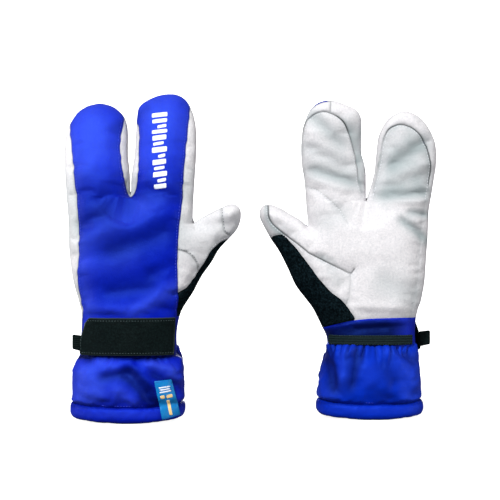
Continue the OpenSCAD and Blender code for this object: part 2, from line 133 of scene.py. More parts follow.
# seams (x, z): those of the back measured on glove a, those of the palm on glove b
SEAMS = {
    "back": {
        "blue": [
            (-42.4, 62), (-41.1, 87.3), (-40.6, 99.9), (-42.1, 110.8), (-44.2, 121.6),
            (-44.8, 132.5), (-43.9, 143.3), (-42.9, 154.2), (-42.7, 165), (-43.3, 181.3),
            (-44.2, 192.2), (-45.1, 203), (-46.7, 213.9), (-47.9, 224.8), (-49, 235.6),
            (-50.4, 246.6), (-51.6, 256.6), (-52.7, 264), (-53.2, 270), (-52.2, 276),
            (-50.5, 283), (-50, 295), (-38.4, 300.3), (-13.8, 300.3), (0, 289),
            (-3.6, 280.5), (-4.3, 274.5), (-4.6, 268.5), (-5.6, 261.2), (-6.2, 251.1),
            (-5.2, 239.3), (-3.5, 226.3), (-1.3, 215), (0.4, 208.3), (3, 204.3), (6, 206.4),
            (8.4, 211.6), (9.7, 219.3), (10.3, 226.6), (10.3, 242), (10.4, 255.7),
            (10.4, 264.8), (9, 271), (6.5, 275), (4.5, 285.3), (5, 302.2), (29.9, 309.7),
            (50.8, 307.8), (56.5, 296), (56.6, 288.4), (56.4, 280.3), (55.7, 268.2),
            (54.4, 251.1), (53.2, 237.5), (52.1, 224.8), (51.4, 213.9), (51, 203),
            (49.8, 192.2), (48.9, 181.3), (48, 170.5), (47.4, 159.6), (47.2, 137.9),
            (47.2, 124.3), (47, 110.8), (45.6, 98.1), (44.9, 88.2), (44.6, 62)],
        "fleece": [
            (97.5, 168.2), (89, 165.2), (81.7, 160.2), (76.6, 154.8), (73, 149.2),
            (70, 143.7), (66.1, 138.2), (62.5, 132.7), (58.9, 127.3), (54.3, 121.8),
            (46.4, 116.8), (43.5, 115.2), (43, 95.4), (51.9, 95), (71.1, 95), (122, 137.7),
            (122, 168.2)],
        "tip": [
            (84.7, 206), (85.8, 192.5), (86.7, 182.5), (88.2, 173.2), (92.1, 170.3),
            (97.6, 168.2), (122, 166), (122, 206)],
        "thumb_root": [
            (47.4, 156), (52.3, 155.1), (56.8, 152.8), (60.9, 149.1), (63.5, 143.5),
            (65.2, 137)],
        "index_side": [(53.9, 231.6), (57.6, 229.8), (60.3, 228)],
        "thumb_top": [(43, 184.6), (51.9, 182.8), (58.5, 181.6), (64, 180.6)],
    },
    "palm": {
        "index": [
            (64.7, 193), (64.6, 200), (61.6, 207.7), (62, 220.7), (63.6, 233), (64.4, 245),
            (64.3, 255), (63.2, 266), (60.6, 275), (57.2, 278.6), (53.2, 281.1),
            (47.6, 282.7), (41.8, 282.5), (35, 279.8), (28, 274.7), (23.3, 267.6),
            (19.5, 257.4), (16.1, 247.8), (14.2, 239.1), (12.9, 229.9), (12, 220.7),
            (10.4, 213.3), (7.9, 208.2), (5.5, 204), (4.6, 193)],
        "outer": [
            (2.2, 193), (0.4, 203.9), (-2.4, 213.6), (-4.7, 224), (-6.6, 234), (-8.6, 246),
            (-10.6, 257), (-13.8, 265.1), (-18.4, 269.3), (-24.8, 271.4), (-31.8, 270.4),
            (-38.8, 266.8), (-45.8, 260.4), (-50.7, 251.6), (-54, 240.9), (-55.2, 230),
            (-53.6, 217.4), (-50.7, 200.1), (-50.4, 193)],
        "side": [
            (-50.6, 201.5), (-47.9, 188.4), (-46.2, 169.9), (-44.8, 151.4), (-43, 128.3),
            (-40.6, 112.5), (-37.5, 99.6), (-35.7, 89.4)],
        "fleece": [
            (122, 187.6), (112, 166.5), (96, 166.9), (88.4, 169.8), (81.4, 169.6),
            (74.4, 162.5), (69.5, 157.4), (64, 150.4), (60.2, 145.3), (55.9, 139.2),
            (47.7, 127.8), (38.4, 117.5), (29.2, 110.6), (23.3, 104.2), (20.1, 99.2),
            (17, 90.8), (38.3, 85.3), (47.4, 83), (70.2, 77.7), (122, 144.8)],
        "wrist": [
            (74.5, 78.6), (47.8, 83), (38.8, 85.5), (28.6, 88.4), (17.6, 90.9), (8, 92.2),
            (-2.8, 92.9), (-25.9, 93.4), (-38.9, 93.2), (-62.9, 93.2)],
        "thumb": [
            (95.6, 197.2), (95.2, 187.5), (93.5, 183.3), (90, 178.8), (81.5, 171.3),
            (73.8, 165.5), (66.5, 160.2), (57.2, 153), (47.9, 148), (37.5, 142.4),
            (29.3, 138.2), (22.5, 134.3), (20, 133.9), (17.3, 137.9)],
        "faint": [(20.9, 132.4), (20.8, 120.9), (22.1, 111.6), (24.4, 105.3)],
        "arc": [
            (60.6, 215.7), (55.1, 213.4), (48.1, 209.3), (41.2, 203.6), (33.2, 196.7),
            (27.4, 189.7), (23.3, 182.3)],
        "notch": [(38.4, 292.6), (38.7, 288.3), (39, 283.1)],
        # the back panel comes just over the index tip
        "over_tip": [(61.5, 281), (57.6, 284.6), (52.5, 288.9), (46.5, 291.4), (41.5, 292.4),
                     (36, 296)],
    },
}
BACK_WRIST = [(40, 96.5), (60, 93.5)]
THUMB_CREASE = [(60, 181), (59.6, 172), (58.6, 163), (57.4, 155)]
# folds: start (x, z), end (x, z), height, width; creases have a negative height
FOLDS = {
    "back": [
        ((-48, 176), (-14, 192), -1.9, 7), ((-46, 158), (18, 194), 1.9, 8),
        ((-20, 150), (44, 176), -2.2, 9), ((-30, 190), (34, 201), 1.2, 7),
        ((-48, 203), (52, 205), -1.2, 9), ((-46, 140), (10, 150), 1.2, 9),
        ((-42, 118), (26, 130), -1.8, 9), ((6, 99), (46, 124), 2.1, 5.5),
        ((-16, 117), (24, 122), -1.5, 4.6), ((-36, 104), (4, 101), 1.2, 5),
        ((20, 134), (46, 143), -1.4, 6), ((-50, 268), (-36, 281), 0.5, 6),
        ((-12, 262), (-4, 272), -1.6, 4), ((8, 280), (20, 287), -1.2, 3.2),
        ((9, 288), (24, 292), 0.8, 3), ((-44, 226), (-14, 214), 0.9, 8),
        ((16, 222), (46, 216), 0.8, 8), ((-42, 124), (-33, 98), 1.0, 6),
        ((-44, 98), (-10, 97), -0.8, 3)],
    "palm": [
        ((57, 281), (26, 251), -2.8, 4.8), ((60, 266), (38, 262), 0.9, 4),
        ((62, 252), (16, 231), -1.7, 5.5), ((60, 262), (24, 238), 1.3, 5),
        ((57, 231), (13, 217), -3.4, 4.8), ((60, 223), (14, 210), 1.7, 4),
        ((30, 272), (22, 262), -0.9, 4), ((-14, 230), (-52, 258), -2.8, 6),
        ((-12, 243), (-44, 264), 0.9, 5), ((-10, 222), (-54, 237), 1.4, 5),
        ((-16, 214), (-54, 226), -1.6, 5), ((-6, 205), (-54, 209), -3.3, 4.8),
        ((-8, 199.5), (-52, 200.5), 1.9, 2.8), ((-34, 190.5), (-56, 188.5), -3.4, 2.7),
        ((-26, 184), (-54, 163), -3.9, 3.6), ((-20, 183), (-52, 182), 1.0, 4),
        ((-30, 176), (-54, 160), 0.9, 5), ((26, 194), (48, 176), -1.2, 8),
        ((-4, 128), (-44, 112), -1.8, 9), ((4, 128), (-30, 106), 1.0, 9),
        ((40, 141), (29, 123), -1.3, 4.5), ((50, 152), (44, 144), -1.3, 2.4),
        ((46, 150), (36, 146), -1.4, 2.0), ((10, 104), (-30, 102), 1.2, 5),
        ((62, 174), (90, 188), 0.9, 5), ((70, 169), (88, 182), -0.8, 2.6),
        ((30, 152), (-20, 165), 0.8, 16), ((-34, 86), (30, 82), -1.5, 2.6),
        ((-34, 90.5), (20, 89), 0.8, 2.2)],
}


# ------------------------------------------------------------------ curves and fields
def smooth(t):
    t = np.clip(t, 0, 1)
    return t * t * (3 - 2 * t)


def bell(t):
    return np.exp(-t ** 2)


def unit(rows):
    return rows / np.maximum(np.linalg.norm(rows, axis=1), 1e-12)[:, None]


def table_at(z, table):
    return np.interp(z, *np.array(table, float).T)


def level(x, line):
    """height at x of a line (x, z) that runs toward smaller x"""
    return np.interp(x, line[::-1, 0], line[::-1, 1])


def lumps(points, scale, seed):
    """smooth noise at each point"""
    return np.array([
        noise.noise(Vector((p[0] * scale + seed, p[1] * scale - seed * 0.7,
                            p[2] * scale + seed * 1.3))) for p in points])


def catmull(points, pieces):
    """open Catmull-Rom curve through the points"""
    points = np.asarray(points, float)
    last = len(points) - 1
    curve_points = []
    for i in range(last):
        p0, p1 = points[max(i - 1, 0)], points[i]
        p2, p3 = points[i + 1], points[min(i + 2, last)]
        for j in range(pieces):
            t = j / pieces
            curve_points.append(0.5 * (
                (2 * p1) + (p2 - p0) * t + (2 * p0 - 5 * p1 + 4 * p2 - p3) * t * t
                + (3 * p1 - p0 - 3 * p2 + p3) * t ** 3))
    curve_points.append(points[-1])
    return np.array(curve_points)


def lengths(points):
    """length along a line up to each of its points"""
    return np.r_[0, np.cumsum(np.linalg.norm(np.diff(points, axis=0), axis=1))]


def along(t, length, rows):
    """the rows read off at length t"""
    return np.array([np.interp(t, length, column) for column in rows.T]).T


def resample(line, step, closed=False):
    line = np.asarray(line, float)
    if closed:
        line = np.vstack([line, line[:1]])
    length = lengths(line)
    count = max(3, int(round(length[-1] / step)))
    even = along(np.linspace(0, length[-1], count + 1), length, line)
    return even[:-1] if closed else even


def seg_dist(flat, line, closed=False):
    """distance from each point to the polyline"""
    flat, line = np.asarray(flat, float), np.asarray(line, float)
    start = line if closed else line[:-1]
    run = (np.roll(line, -1, axis=0) if closed else line[1:]) - start
    square = np.maximum((run ** 2).sum(1), 1e-12)
    dist = np.empty(len(flat))
    for i in range(0, len(flat), 1500):
        some = flat[i:i + 1500]
        t = np.clip(((some[:, None] - start[None]) * run[None]).sum(-1) / square, 0, 1)
        foot = start[None] + t[..., None] * run[None]
        dist[i:i + 1500] = np.sqrt(((some[:, None] - foot) ** 2).sum(-1).min(1))
    return dist


def inside(flat, polygon):
    flat = np.asarray(flat, float).reshape(-1, 2)
    start = np.asarray(polygon, float)
    end = np.roll(start, -1, axis=0)
    rise = end[None, :, 1] - start[None, :, 1]
    result = np.zeros(len(flat), bool)
    for i in range(0, len(flat), 2000):
        x, z = flat[i:i + 2000, 0, None], flat[i:i + 2000, 1, None]
        crosses = (start[None, :, 1] > z) != (end[None, :, 1] > z)
        hit = (start[None, :, 0] + (z - start[None, :, 1])
               * (end[None, :, 0] - start[None, :, 0]) / np.where(rise == 0, 1e-12, rise))
        result[i:i + 2000] = (crosses & (x < hit)).sum(1) % 2 == 1
    return result


def left_normals(line, closed=False):
    if closed:
        tangent = np.roll(line, -1, axis=0) - np.roll(line, 1, axis=0)
    else:
        tangent = np.gradient(line, axis=0)
    tangent = unit(tangent)
    return np.c_[-tangent[:, 1], tangent[:, 0]]


def signed_area(outline):
    x, z = outline.T
    return 0.5 * np.sum(x * np.roll(z, -1) - np.roll(x, -1) * z)


def thin_plate(source, target):
    """smooth warp that takes each source point to its target point"""
    source, target = np.array(source, float), np.array(target, float)
    count = len(source)

    def kernel(points):
        square = ((points[:, None] - source[None]) ** 2).sum(-1)
        return np.where(square > 1e-9, square * np.log(np.maximum(square, 1e-9)), 0)

    affine = np.c_[np.ones(count), source]
    system = np.block([[kernel(source) + 1e-6 * np.eye(count), affine],
                       [affine.T, np.zeros((3, 3))]])
    weights = np.linalg.solve(system, np.r_[target, np.zeros((3, 2))])

    def warp(points):
        points = np.asarray(points, float).reshape(-1, 2)
        return (kernel(points) @ weights[:count]
                + np.c_[np.ones(len(points)), points] @ weights[count:])
    return warp


WARPS = {("b", "back"): thin_plate(MARKS["a"], MARKS["b"]),
         ("a", "palm"): thin_plate(MARKS["b"], MARKS["a"])}


def on_glove(glove, side, points):
    """points measured on the side's own glove, carried to this glove"""
    points = np.array(points, float)
    warp = WARPS.get((glove, side))
    return warp(points) if warp else points


def curve(glove, side, name, first=None, last=None):
    """a seam, or the part of its table from first to last, as a smooth line"""
    return catmull(on_glove(glove, side, SEAMS[side][name][first:last]), 6)


def silhouette(glove):
    """the outline, open at the wrist; it closes along the bottom when used as a polygon"""
    line = catmull(SILHOUETTE[glove], 10)
    return resample(np.vstack([[line[0][0], 30.0], line, [line[-1][0], 30.0]]), 1.7)


OUTLINE = {glove: silhouette(glove) for glove in "ab"}


# ------------------------------------------------------------------ the padded body's surface
def thumbness(flat):
    x, z = flat.T
    return smooth((x - 49) / 24) * smooth((193 - z) / 14)


def near_fork(flat, z, reach, soft):
    """1 at the fork between the lobes, taken at height z, and 0 beyond reach"""
    return smooth((reach - np.hypot(flat[:, 0] - 2.6, flat[:, 1] - z)) / soft)


def mid_y(glove, flat):
    """y half way between back and palm"""
    curl = np.clip((flat[:, 1] - 212) / 90, 0, 1.1)
    return CURL[glove] * curl * curl + 2.5 * thumbness(flat)


def edge_round(t):
    """0 at the silhouette, rising to 1 where the padding is full"""
    return (1 - (1 - np.clip(t, 0, 1)) ** EDGE_POWER) ** (1 / EDGE_POWER)


def fold(flat, start, end, rise, width, fade=0.25):
    """a soft ridge (rise > 0) or crease (rise < 0), fading at the ends"""
    start, end = np.array(start, float), np.array(end, float)
    run = end - start
    length = np.linalg.norm(run)
    t = ((flat - start) @ run) / length ** 2
    off = np.abs((flat - start) @ np.array([-run[1], run[0]]) / length)
    ends = smooth((t + fade) / fade / 1.6) * smooth((1 + fade - t) / fade / 1.6)
    return rise * bell(off / width) * ends


def folds_on(glove, side):
    for start, end, rise, width in FOLDS[side]:
        yield (*on_glove(glove, side, (start, end)), rise, width)


def index_shade(x, z):
    return (0.12 + 0.7 * smooth((z - 256) / 20)
            + 0.5 * smooth((40 - x) / 14) * smooth((z - 212) / 20))


def outer_shade(x, z):
    return 0.26 + 0.8 * np.maximum(smooth((z - 246) / 18) * smooth((-8 - x) / 8),
                                   smooth((-40 - x) / 8) * smooth((z - 205) / 25))


def thumb_shade(x, z):
    return 0.35 + 0.65 * smooth((z - 132) / 14)


# seam, first and last point used, depth, width, darkness (a value or a function of x, z)
GROOVE_TABLE = {
    "back": [("blue", None, None, 1.1, 1.0, 0.5), ("fleece", None, 12, 0.8, 1.0, 0.2),
             ("tip", None, 6, 0.7, 0.8, 0.3), ("thumb_root", None, None, 0.8, 0.9, 0.6),
             ("index_side", None, None, 0.5, 0.9, 0.0)],
    "palm": [("index", 5, -2, 1.4, 1.0, index_shade), ("outer", 2, -2, 1.4, 1.0, outer_shade),
             ("side", None, None, 0.4, 1.6, 0.0), ("fleece", 2, -3, 0.9, 1.1, 0.2),
             ("wrist", None, None, 1.0, 1.0, 0.15),
             ("thumb", None, None, 1.5, 0.9, thumb_shade),
             ("faint", None, None, 0.5, 0.8, 0.14), ("arc", None, None, 0.6, 0.8, 0.16),
             ("notch", None, None, 0.6, 0.8, 0.5), ("over_tip", None, None, 0.5, 0.7, 0.4)],
}
# (line, depth, width, darkness)
GROOVES = {glove: {side: [(curve(glove, side, name, first, last), depth, width, dark)
                          for name, first, last, depth, width, dark in rows]
                   for side, rows in GROOVE_TABLE.items()} for glove in "ab"}


def height(glove, side, flat):
    """y of the back or palm surface over the points (x, z)"""
    edge = seg_dist(flat, OUTLINE[glove])
    depth = np.mean([table_at(flat[:, 1] + shift, DEPTH)
                     for shift in (-10, -6, -3, 0, 3, 6, 10)], axis=0)
    thumb = thumbness(flat)
    depth = depth * (1 - thumb) + THUMB_DEPTH * thumb
    full = edge_round(edge / (np.maximum(depth, 6) * EDGE_REACH))
    y = depth * full * (0.94 + 0.06 * smooth(edge / 34))
    y = y + sum(fold(flat, *row) for row in folds_on(glove, side)) * np.minimum(full, 1) ** 1.5
    # seam grooves, and the padding pulled in beside them
    for line, groove, width, _ in GROOVES[glove][side]:
        gap = seg_dist(flat, line)
        y = (y - groove * bell(gap / width) * smooth(full * 2.2)
             - 0.45 * bell(gap / 4.5) * smooth(full * 1.5))
    # crease where the thumb leaves the hand
    gap = seg_dist(flat, on_glove(glove, "back", THUMB_CREASE))
    y = y - (2.6 if side == "back" else 1.2) * bell(gap / 3.4) * smooth(full * 2)
    return mid_y(glove, flat) + SIGN[side] * y


def cloth_points(glove, side, flat):
    """the surface with the padding's slow unevenness, and its y without it"""
    y = height(glove, side, flat)
    points = np.c_[flat[:, 0], y, flat[:, 1]]
    seed = 3.1 if side == "back" else 9.7
    uneven = lumps(points, 0.055, seed) * 0.75 + lumps(points, 0.16, 5.5) * 0.28
    points[:, 1] += SIGN[side] * (uneven * smooth(seg_dist(flat, OUTLINE[glove]) / 8))
    return points, y


# ------------------------------------------------------------------ triangulation
class Cloud:
    """flat points kept in square bins, so that neighbours are found quickly"""

    def __init__(self, cell=2.0):
        self.cell, self.bins, self.points = cell, {}, []

    def bin_of(self, point):
        return math.floor(point[0] / self.cell), math.floor(point[1] / self.cell)

    def near(self, point, gap):
        column, row = self.bin_of(point)
        for i in (column - 1, column, column + 1):
            for j in (row - 1, row, row + 1):
                for index in self.bins.get((i, j), ()):
                    x, z = self.points[index]
                    if (x - point[0]) ** 2 + (z - point[1]) ** 2 < gap * gap:
                        return index
        return None

    def add(self, point):
        self.points.append((float(point[0]), float(point[1])))
        self.bins.setdefault(self.bin_of(point), []).append(len(self.points) - 1)
        return len(self.points) - 1

    def add_clear(self, points, gap):
        """add the points that have no neighbour within gap"""
        for point in points:
            if self.near(point, gap) is None:
                self.add(point)

    def add_outline(self, outline):
        """add a closed outline and return its edges"""
        index = [self.add(point) for point in outline]
        return [(index[i], index[(i + 1) % len(index)]) for i in range(len(index))]

    def add_ring(self, ring, outline, clear, gap):
        """add the points of a ring that lie inside the outline, clear of its edge"""
        keep = inside(ring, outline) & (seg_dist(ring, outline, True) > clear)
        self.add_clear(ring[keep], gap)

    def add_grid(self, outline, step, clear, gap):
        """fill the outline with a triangular grid"""
        low, high = outline.min(0), outline.max(0)
        grid = np.array([(low[0] + (i + 0.5 * (j % 2)) * step, low[1] + j * step * 0.866)
                         for j in range(int((high[1] - low[1]) / step / 0.866) + 1)
                         for i in range(int((high[0] - low[0]) / step) + 1)])
        grid = grid[inside(grid, outline)]
        self.add_clear(grid[seg_dist(grid, outline, True) > clear], gap)

    def triangles(self, edges, outline):
        """points, counter-clockwise triangles inside the outline, twice their areas"""
        verts, _, faces = delaunay_2d_cdt(
            [Vector(p) for p in self.points], edges, [], 0, 1e-5)[:3]
        verts = np.array([tuple(v) for v in verts], float)
        faces = np.array([face for face in faces if len(face) == 3], int)
        faces = faces[inside(verts[faces].mean(1), outline)]
        a, b, c = verts[faces].transpose(1, 0, 2)
        area = ((b[:, 0] - a[:, 0]) * (c[:, 1] - a[:, 1])
                - (c[:, 0] - a[:, 0]) * (b[:, 1] - a[:, 1]))
        faces[area < 0] = faces[area < 0][:, ::-1]
        return verts, faces, area


# spacings of the body's flat meshes; outline None keeps the silhouette's own points
MESHES = {
    "fine": dict(outline=None, line=1.5, step=2.1, clear=25.6, gap=2.1 * 0.6,
                 rings=[0.25, 0.9, 2, 3.5, 5.4, 7.6, 10.2, 13.2, 16.6, 20.5, 24.8]),
    "middle": dict(outline=3.6, line=5.0, step=3.9, clear=14.5, gap=1.9,
                   rings=[2, 5.2, 8.8, 12.6]),
    "coarse": dict(outline=5.0, line=5.0, step=7.0, clear=22, gap=1.9, rings=[1.2, 5, 11, 18]),
}


def triangulate(glove, lines, kind="fine"):
    """flat mesh of the silhouette above BODY_Z0 with the lines as edges"""
    mesh, fine = MESHES[kind], kind == "fine"
    outline = OUTLINE[glove] if fine else resample(OUTLINE[glove], mesh["outline"])
    cloud = Cloud()
    edges = cloud.add_outline(outline)
    lines = [resample(line, mesh["line"]) for line in lines]
    for line in lines:
        previous = None
        for point in line:
            index = cloud.near(point, 0.35)
            if index is None:
                index = cloud.add(point)
            if previous not in (None, index):
                edges.append((previous, index))
            previous = index
    if fine:                    # rows on both sides of each line carry its groove
        for line in lines:
            normals = left_normals(line)
            for offset in (0.75, -0.75, 1.7, -1.7):
                cloud.add_clear(line + normals * offset, 0.62)
    inward = left_normals(outline, True) * (1 if signed_area(outline) > 0 else -1)
    for ring in mesh["rings"]:
        cloud.add_ring(outline + inward * ring, outline, clear=ring * 0.975 - 0.02,
                       gap=min(1.05, 0.55 * ring + 0.1) if fine else 2.0)
    cloud.add_grid(outline, mesh["step"], mesh["clear"], mesh["gap"])
    verts, faces, area = cloud.triangles(edges, outline)
    return verts, faces[(verts[faces].mean(1)[:, 1] > BODY_Z0) & (np.abs(area) > 1e-7)]


def level_line(z):
    return np.array([(-75, z), (75, z)])


def split_lines(glove, side):
    """seams, and the lines where pieces on different bodies part"""
    lines = [groove[0] for groove in GROOVES[glove][side]]
    lines += [level_line(LOBE_Z[glove]), level_line(BODY_Z0)]
    if side == "back":
        lines += [curve(glove, "back", "thumb_top"), np.array([(THUMB_X, 90), (THUMB_X, 128)]),
                  np.array(BACK_WRIST), np.array([(-60, 93.5), (-38, 93.5)])]
    else:
        lines.append(np.array([(THUMB_X, 90), (THUMB_X, 178)]))
    lines.append(np.array([(64, 177), (64, 196)]))
    return lines


def back_labels(glove, centres):
    """which sewn piece of the back each point belongs to"""
    x, z = centres.T
    lobe = (z > LOBE_Z[glove]) & (x < 72)
    index = x > FORK_X[glove]
    blue = inside(centres, curve(glove, "back", "blue"))
    fleece = inside(centres, curve(glove, "back", "fleece")) & ~blue
    tip = inside(centres, curve(glove, "back", "tip")) & ~fleece
    top = np.interp(x, *curve(glove, "back", "thumb_top").T)
    piece = np.array(["gusset_hand_outer"] * len(x), dtype=object)
    piece[(x > 0) & (z >= top)] = "gusset_hand_thumb"
    piece[(x > 0) & (z < top)] = "thumb_back"
    piece[(x > 64) & (z < 206)] = "thumb_back"
    piece[lobe & index] = "gusset_index"
    piece[lobe & ~index] = "gusset_outer"
    piece[tip & (z < 206)] = "thumb_tip"
    piece[fleece & (x > THUMB_X)] = "thumb_fleece"
    piece[fleece & (x <= THUMB_X)] = "hand_fleece"
    piece[blue] = "back_hand"
    piece[blue & lobe & index] = "back_index"
    piece[blue & lobe & ~index] = "back_outer"
    piece[~blue & (x > 20) & (z < table_at(x, BACK_WRIST))] = "wrist_palm"
    piece[~blue & (x < 0) & (z < 93.5)] = "wrist_palm"
    return piece


def palm_labels(glove, centres):
    """which sewn piece of the palm each point belongs to"""
    x, z = centres.T
    lobe = (z > LOBE_Z[glove]) & (x < 72)
    index = x > FORK_X[glove]
    fleece = inside(centres, curve(glove, "palm", "fleece"))
    thumb = curve(glove, "palm", "thumb")
    tip = (x > 80) & (z < level(x, thumb)) | (x > thumb[:, 0].max() - 0.3) & (z < 206)
    thumb_top = (181.3 if glove == "a" else 178.1) + 0.15 * (x - 60)
    piece = np.array(["palm_hand"] * len(x), dtype=object)
    piece[(x < level(z, curve(glove, "palm", "side")[:, ::-1])) & ~lobe] = "gusset_hand_outer"
    piece[lobe & index] = "gusset_index"
    piece[lobe & ~index] = "gusset_outer"
    piece[lobe & index & inside(centres, curve(glove, "palm", "index"))] = "palm_index"
    piece[lobe & ~index & inside(centres, curve(glove, "palm", "outer"))] = "palm_outer"
    piece[~lobe & (x > THUMB_X) & (z < thumb_top)] = "thumb_palm"
    piece[(x > 64) & (z < 206)] = "thumb_palm"
    piece[tip & (x > 60)] = "thumb_tip"
    piece[fleece & (x > THUMB_X)] = "thumb_fleece"
    piece[fleece & (x <= THUMB_X)] = "hand_fleece"
    piece[z < level(x, curve(glove, "palm", "wrist"))] = "wrist_palm"
    over = level(x, curve(glove, "palm", "over_tip"))
    piece[(x > 36) & (x < 64) & (z > 280) & (z > over)] = "back_index"
    return piece


# ------------------------------------------------------------------ mesh objects
def smooth_faces(me):
    me.polygons.foreach_set("use_smooth", np.ones(len(me.polygons), bool))


def mesh_data(name, points, faces):
    me = bpy.data.meshes.new(name)
    me.from_pydata(np.asarray(points).tolist(), [], faces)
    me.update()
    return me


def link(name, me):
    obj = bpy.data.objects.new(name, me)
    SCENE.collection.objects.link(obj)
    return obj


def mesh_object(name, points, faces, material):
    me = mesh_data(name, points, faces)
    smooth_faces(me)
    me.materials.append(material)
    return link(name, me)


def read_points(me):
    flat = np.empty(len(me.vertices) * 3)
    me.vertices.foreach_get("co", flat)
    return flat.reshape(-1, 3)


def set_attribute(me, name, values):
    attribute = me.attributes.new(name, "FLOAT", "POINT")
    attribute.data.foreach_set("value", np.asarray(values, np.float32))


def turn_outward(me, wall=0):
    """face the mesh outward, first giving it an inner wall if asked"""
    bm = bmesh.new()
    bm.from_mesh(me)
    if wall:
        bm.normal_update()
        bmesh.ops.solidify(bm, geom=bm.faces[:], thickness=-wall)
    bmesh.ops.recalc_face_normals(bm, faces=bm.faces)
    bm.to_mesh(me)
    bm.free()
    smooth_faces(me)


def shell(name, points, normals, faces, material, thick, shades=None):
    """closed sheet under the surface, keeping the surface's own smooth normals"""
    used, inverse = np.unique(faces.ravel(), return_inverse=True)
    faces = inverse.reshape(-1, 3)
    points, normals = points[used], normals[used]
    count = len(points)
    sides = np.vstack([faces[:, [0, 1]], faces[:, [1, 2]], faces[:, [2, 0]]])
    _, first, uses = np.unique(np.sort(sides, axis=1), axis=0, return_index=True,
                               return_counts=True)
    rim = sides[first[uses == 1]].tolist()
    obj = mesh_object(
        name, np.vstack([points, points - normals * thick]),
        faces.tolist() + (faces[:, ::-1] + count).tolist()
        + [(b, a, a + count, b + count) for a, b in rim], material)
    me = obj.data
    size = 3 * len(faces)               # corners on each face of the sheet
    corner = np.empty(len(me.loops), int)
    me.loops.foreach_get("vertex_index", corner)
    flat = np.empty(len(me.polygons) * 3)
    me.polygons.foreach_get("normal", flat)
    split = np.zeros((len(me.loops), 3), float)
    split[:size] = normals[corner[:size]]
    split[size:2 * size] = -normals[corner[size:2 * size] - count]
    split[2 * size:] = np.repeat(flat.reshape(-1, 3)[2 * len(faces):], 4, axis=0)
    me.normals_split_custom_set(split.tolist())
    for shade, values in (shades or {}).items():
        set_attribute(me, shade, np.r_[values[used], values[used]])
    return obj


def vertex_normals(points, faces):
    a, b, c = points[faces].transpose(1, 0, 2)
    face_normals = np.cross(b - a, c - a)
    normals = np.zeros_like(points)
    for i in range(3):
        np.add.at(normals, faces[:, i], face_normals)
    return unit(normals)


def weld(points, faces, grain):
    """merge points within a grain: index of the kept points, faces, mask of the kept faces"""
    key = np.round(points / grain).astype(np.int64)
    _, first, inverse = np.unique(key, axis=0, return_index=True, return_inverse=True)
    faces = inverse.ravel()[faces]
    a, b, c = faces.T
    whole = (a != b) & (b != c) & (a != c)
    return first, faces[whole], whole


def ring_mesh(name, grid, material, closed=False):
    """quads over a grid closed along its first axis, and along its second if asked"""
    around, rows = grid.shape[:2]
    faces = []
    for i in range(around):
        here, beyond = i * rows, (i + 1) % around * rows
        for j in range(rows if closed else rows - 1):
            up = (j + 1) % rows
            faces.append((here + j, beyond + j, beyond + up, here + up))
    return mesh_object(name, grid.reshape(-1, 3), faces, material)


# ------------------------------------------------------------------ materials
# Texture scales are per mm of the cloth; bumps are (height, depth in mm, strength).
def srgb(red, green, blue):
    def linear(value):
        value /= 255
        return value / 12.92 if value <= 0.04045 else ((value + 0.055) / 1.055) ** 2.4
    return linear(red), linear(green), linear(blue), 1.0


class Shader:
    def __init__(self, name):
        self.material = bpy.data.materials.new(name)
        self.material.use_nodes = True
        self.nodes = self.material.node_tree.nodes
        self.surface = next(n for n in self.nodes if n.type == "BSDF_PRINCIPLED").inputs

    def node(self, kind, **settings):
        node = self.nodes.new(kind)
        for key, value in settings.items():
            setattr(node, key, value)
        return node

    def feed(self, socket, value):
        if isinstance(value, (int, float, tuple)):
            socket.default_value = value
        else:
            self.material.node_tree.links.new(value, socket)

    def math(self, operation, a, b):
        node = self.node("ShaderNodeMath", operation=operation)
        self.feed(node.inputs[0], a)
        self.feed(node.inputs[1], b)
        return node.outputs[0]

    def times(self, a, b):
        return self.math("MULTIPLY", a, b)

    def mix(self, factor, a, b):
        node = self.node("ShaderNodeMix", data_type="RGBA")
        for socket, value in ((0, factor), (6, a), (7, b)):
            self.feed(node.inputs[socket], value)
        return node.outputs[2]


class Cloth(Shader):
    """a shader whose textures follow the cloth's own millimetres"""

    def __init__(self, name):
        super().__init__(name)
        self.rest = self.node("ShaderNodeAttribute", attribute_name="rest").outputs["Vector"]

    def texture(self, kind, output, settings, **values):
        node = self.node(kind, **settings)
        for key, value in values.items():
            node.inputs[key].default_value = value
        self.feed(node.inputs["Vector"], self.rest)
        return node.outputs[output]

    def shade(self, name, amount=None):
        """one of the mesh's painted shades, scaled by amount"""
        value = self.node("ShaderNodeAttribute", attribute_name=name).outputs["Fac"]
        return value if amount is None else self.times(value, amount)

    def noise(self, scale, detail=3, rough=0.55):
        return self.texture("ShaderNodeTexNoise", "Fac", {}, Scale=scale, Detail=detail,
                            Roughness=rough)

    def wave(self, direction, scale, distort=0.4):
        return self.texture("ShaderNodeTexWave", "Fac", {"bands_direction": direction},
                            Scale=scale, Distortion=distort, Detail=1)

    def contrast(self, factor, low, high):
        node = self.node("ShaderNodeValToRGB")
        ends = node.color_ramp.elements
        ends[0].position, ends[1].position = low, high
        self.feed(node.inputs["Fac"], factor)
        return node.outputs["Color"]

    def finish(self, color, rough, bumps, sheen=0.0, tint=None, specular=0.4,
               sheen_rough=0.4):
        self.feed(self.surface["Base Color"], color)
        self.feed(self.surface["Roughness"], rough)
        self.surface["Specular IOR Level"].default_value = specular
        self.surface["Sheen Weight"].default_value = sheen
        self.surface["Sheen Roughness"].default_value = sheen_rough
        if tint:
            self.surface["Sheen Tint"].default_value = tint
        normal = None
        for bump, depth, strength in bumps:
            node = self.node("ShaderNodeBump")
            node.inputs["Distance"].default_value = depth / 1000
            node.inputs["Strength"].default_value = strength
            self.feed(node.inputs["Height"], bump)
            if normal is not None:
                self.feed(node.inputs["Normal"], normal)
            normal = node.outputs["Normal"]
        self.feed(self.surface["Normal"], normal)
        return self.material


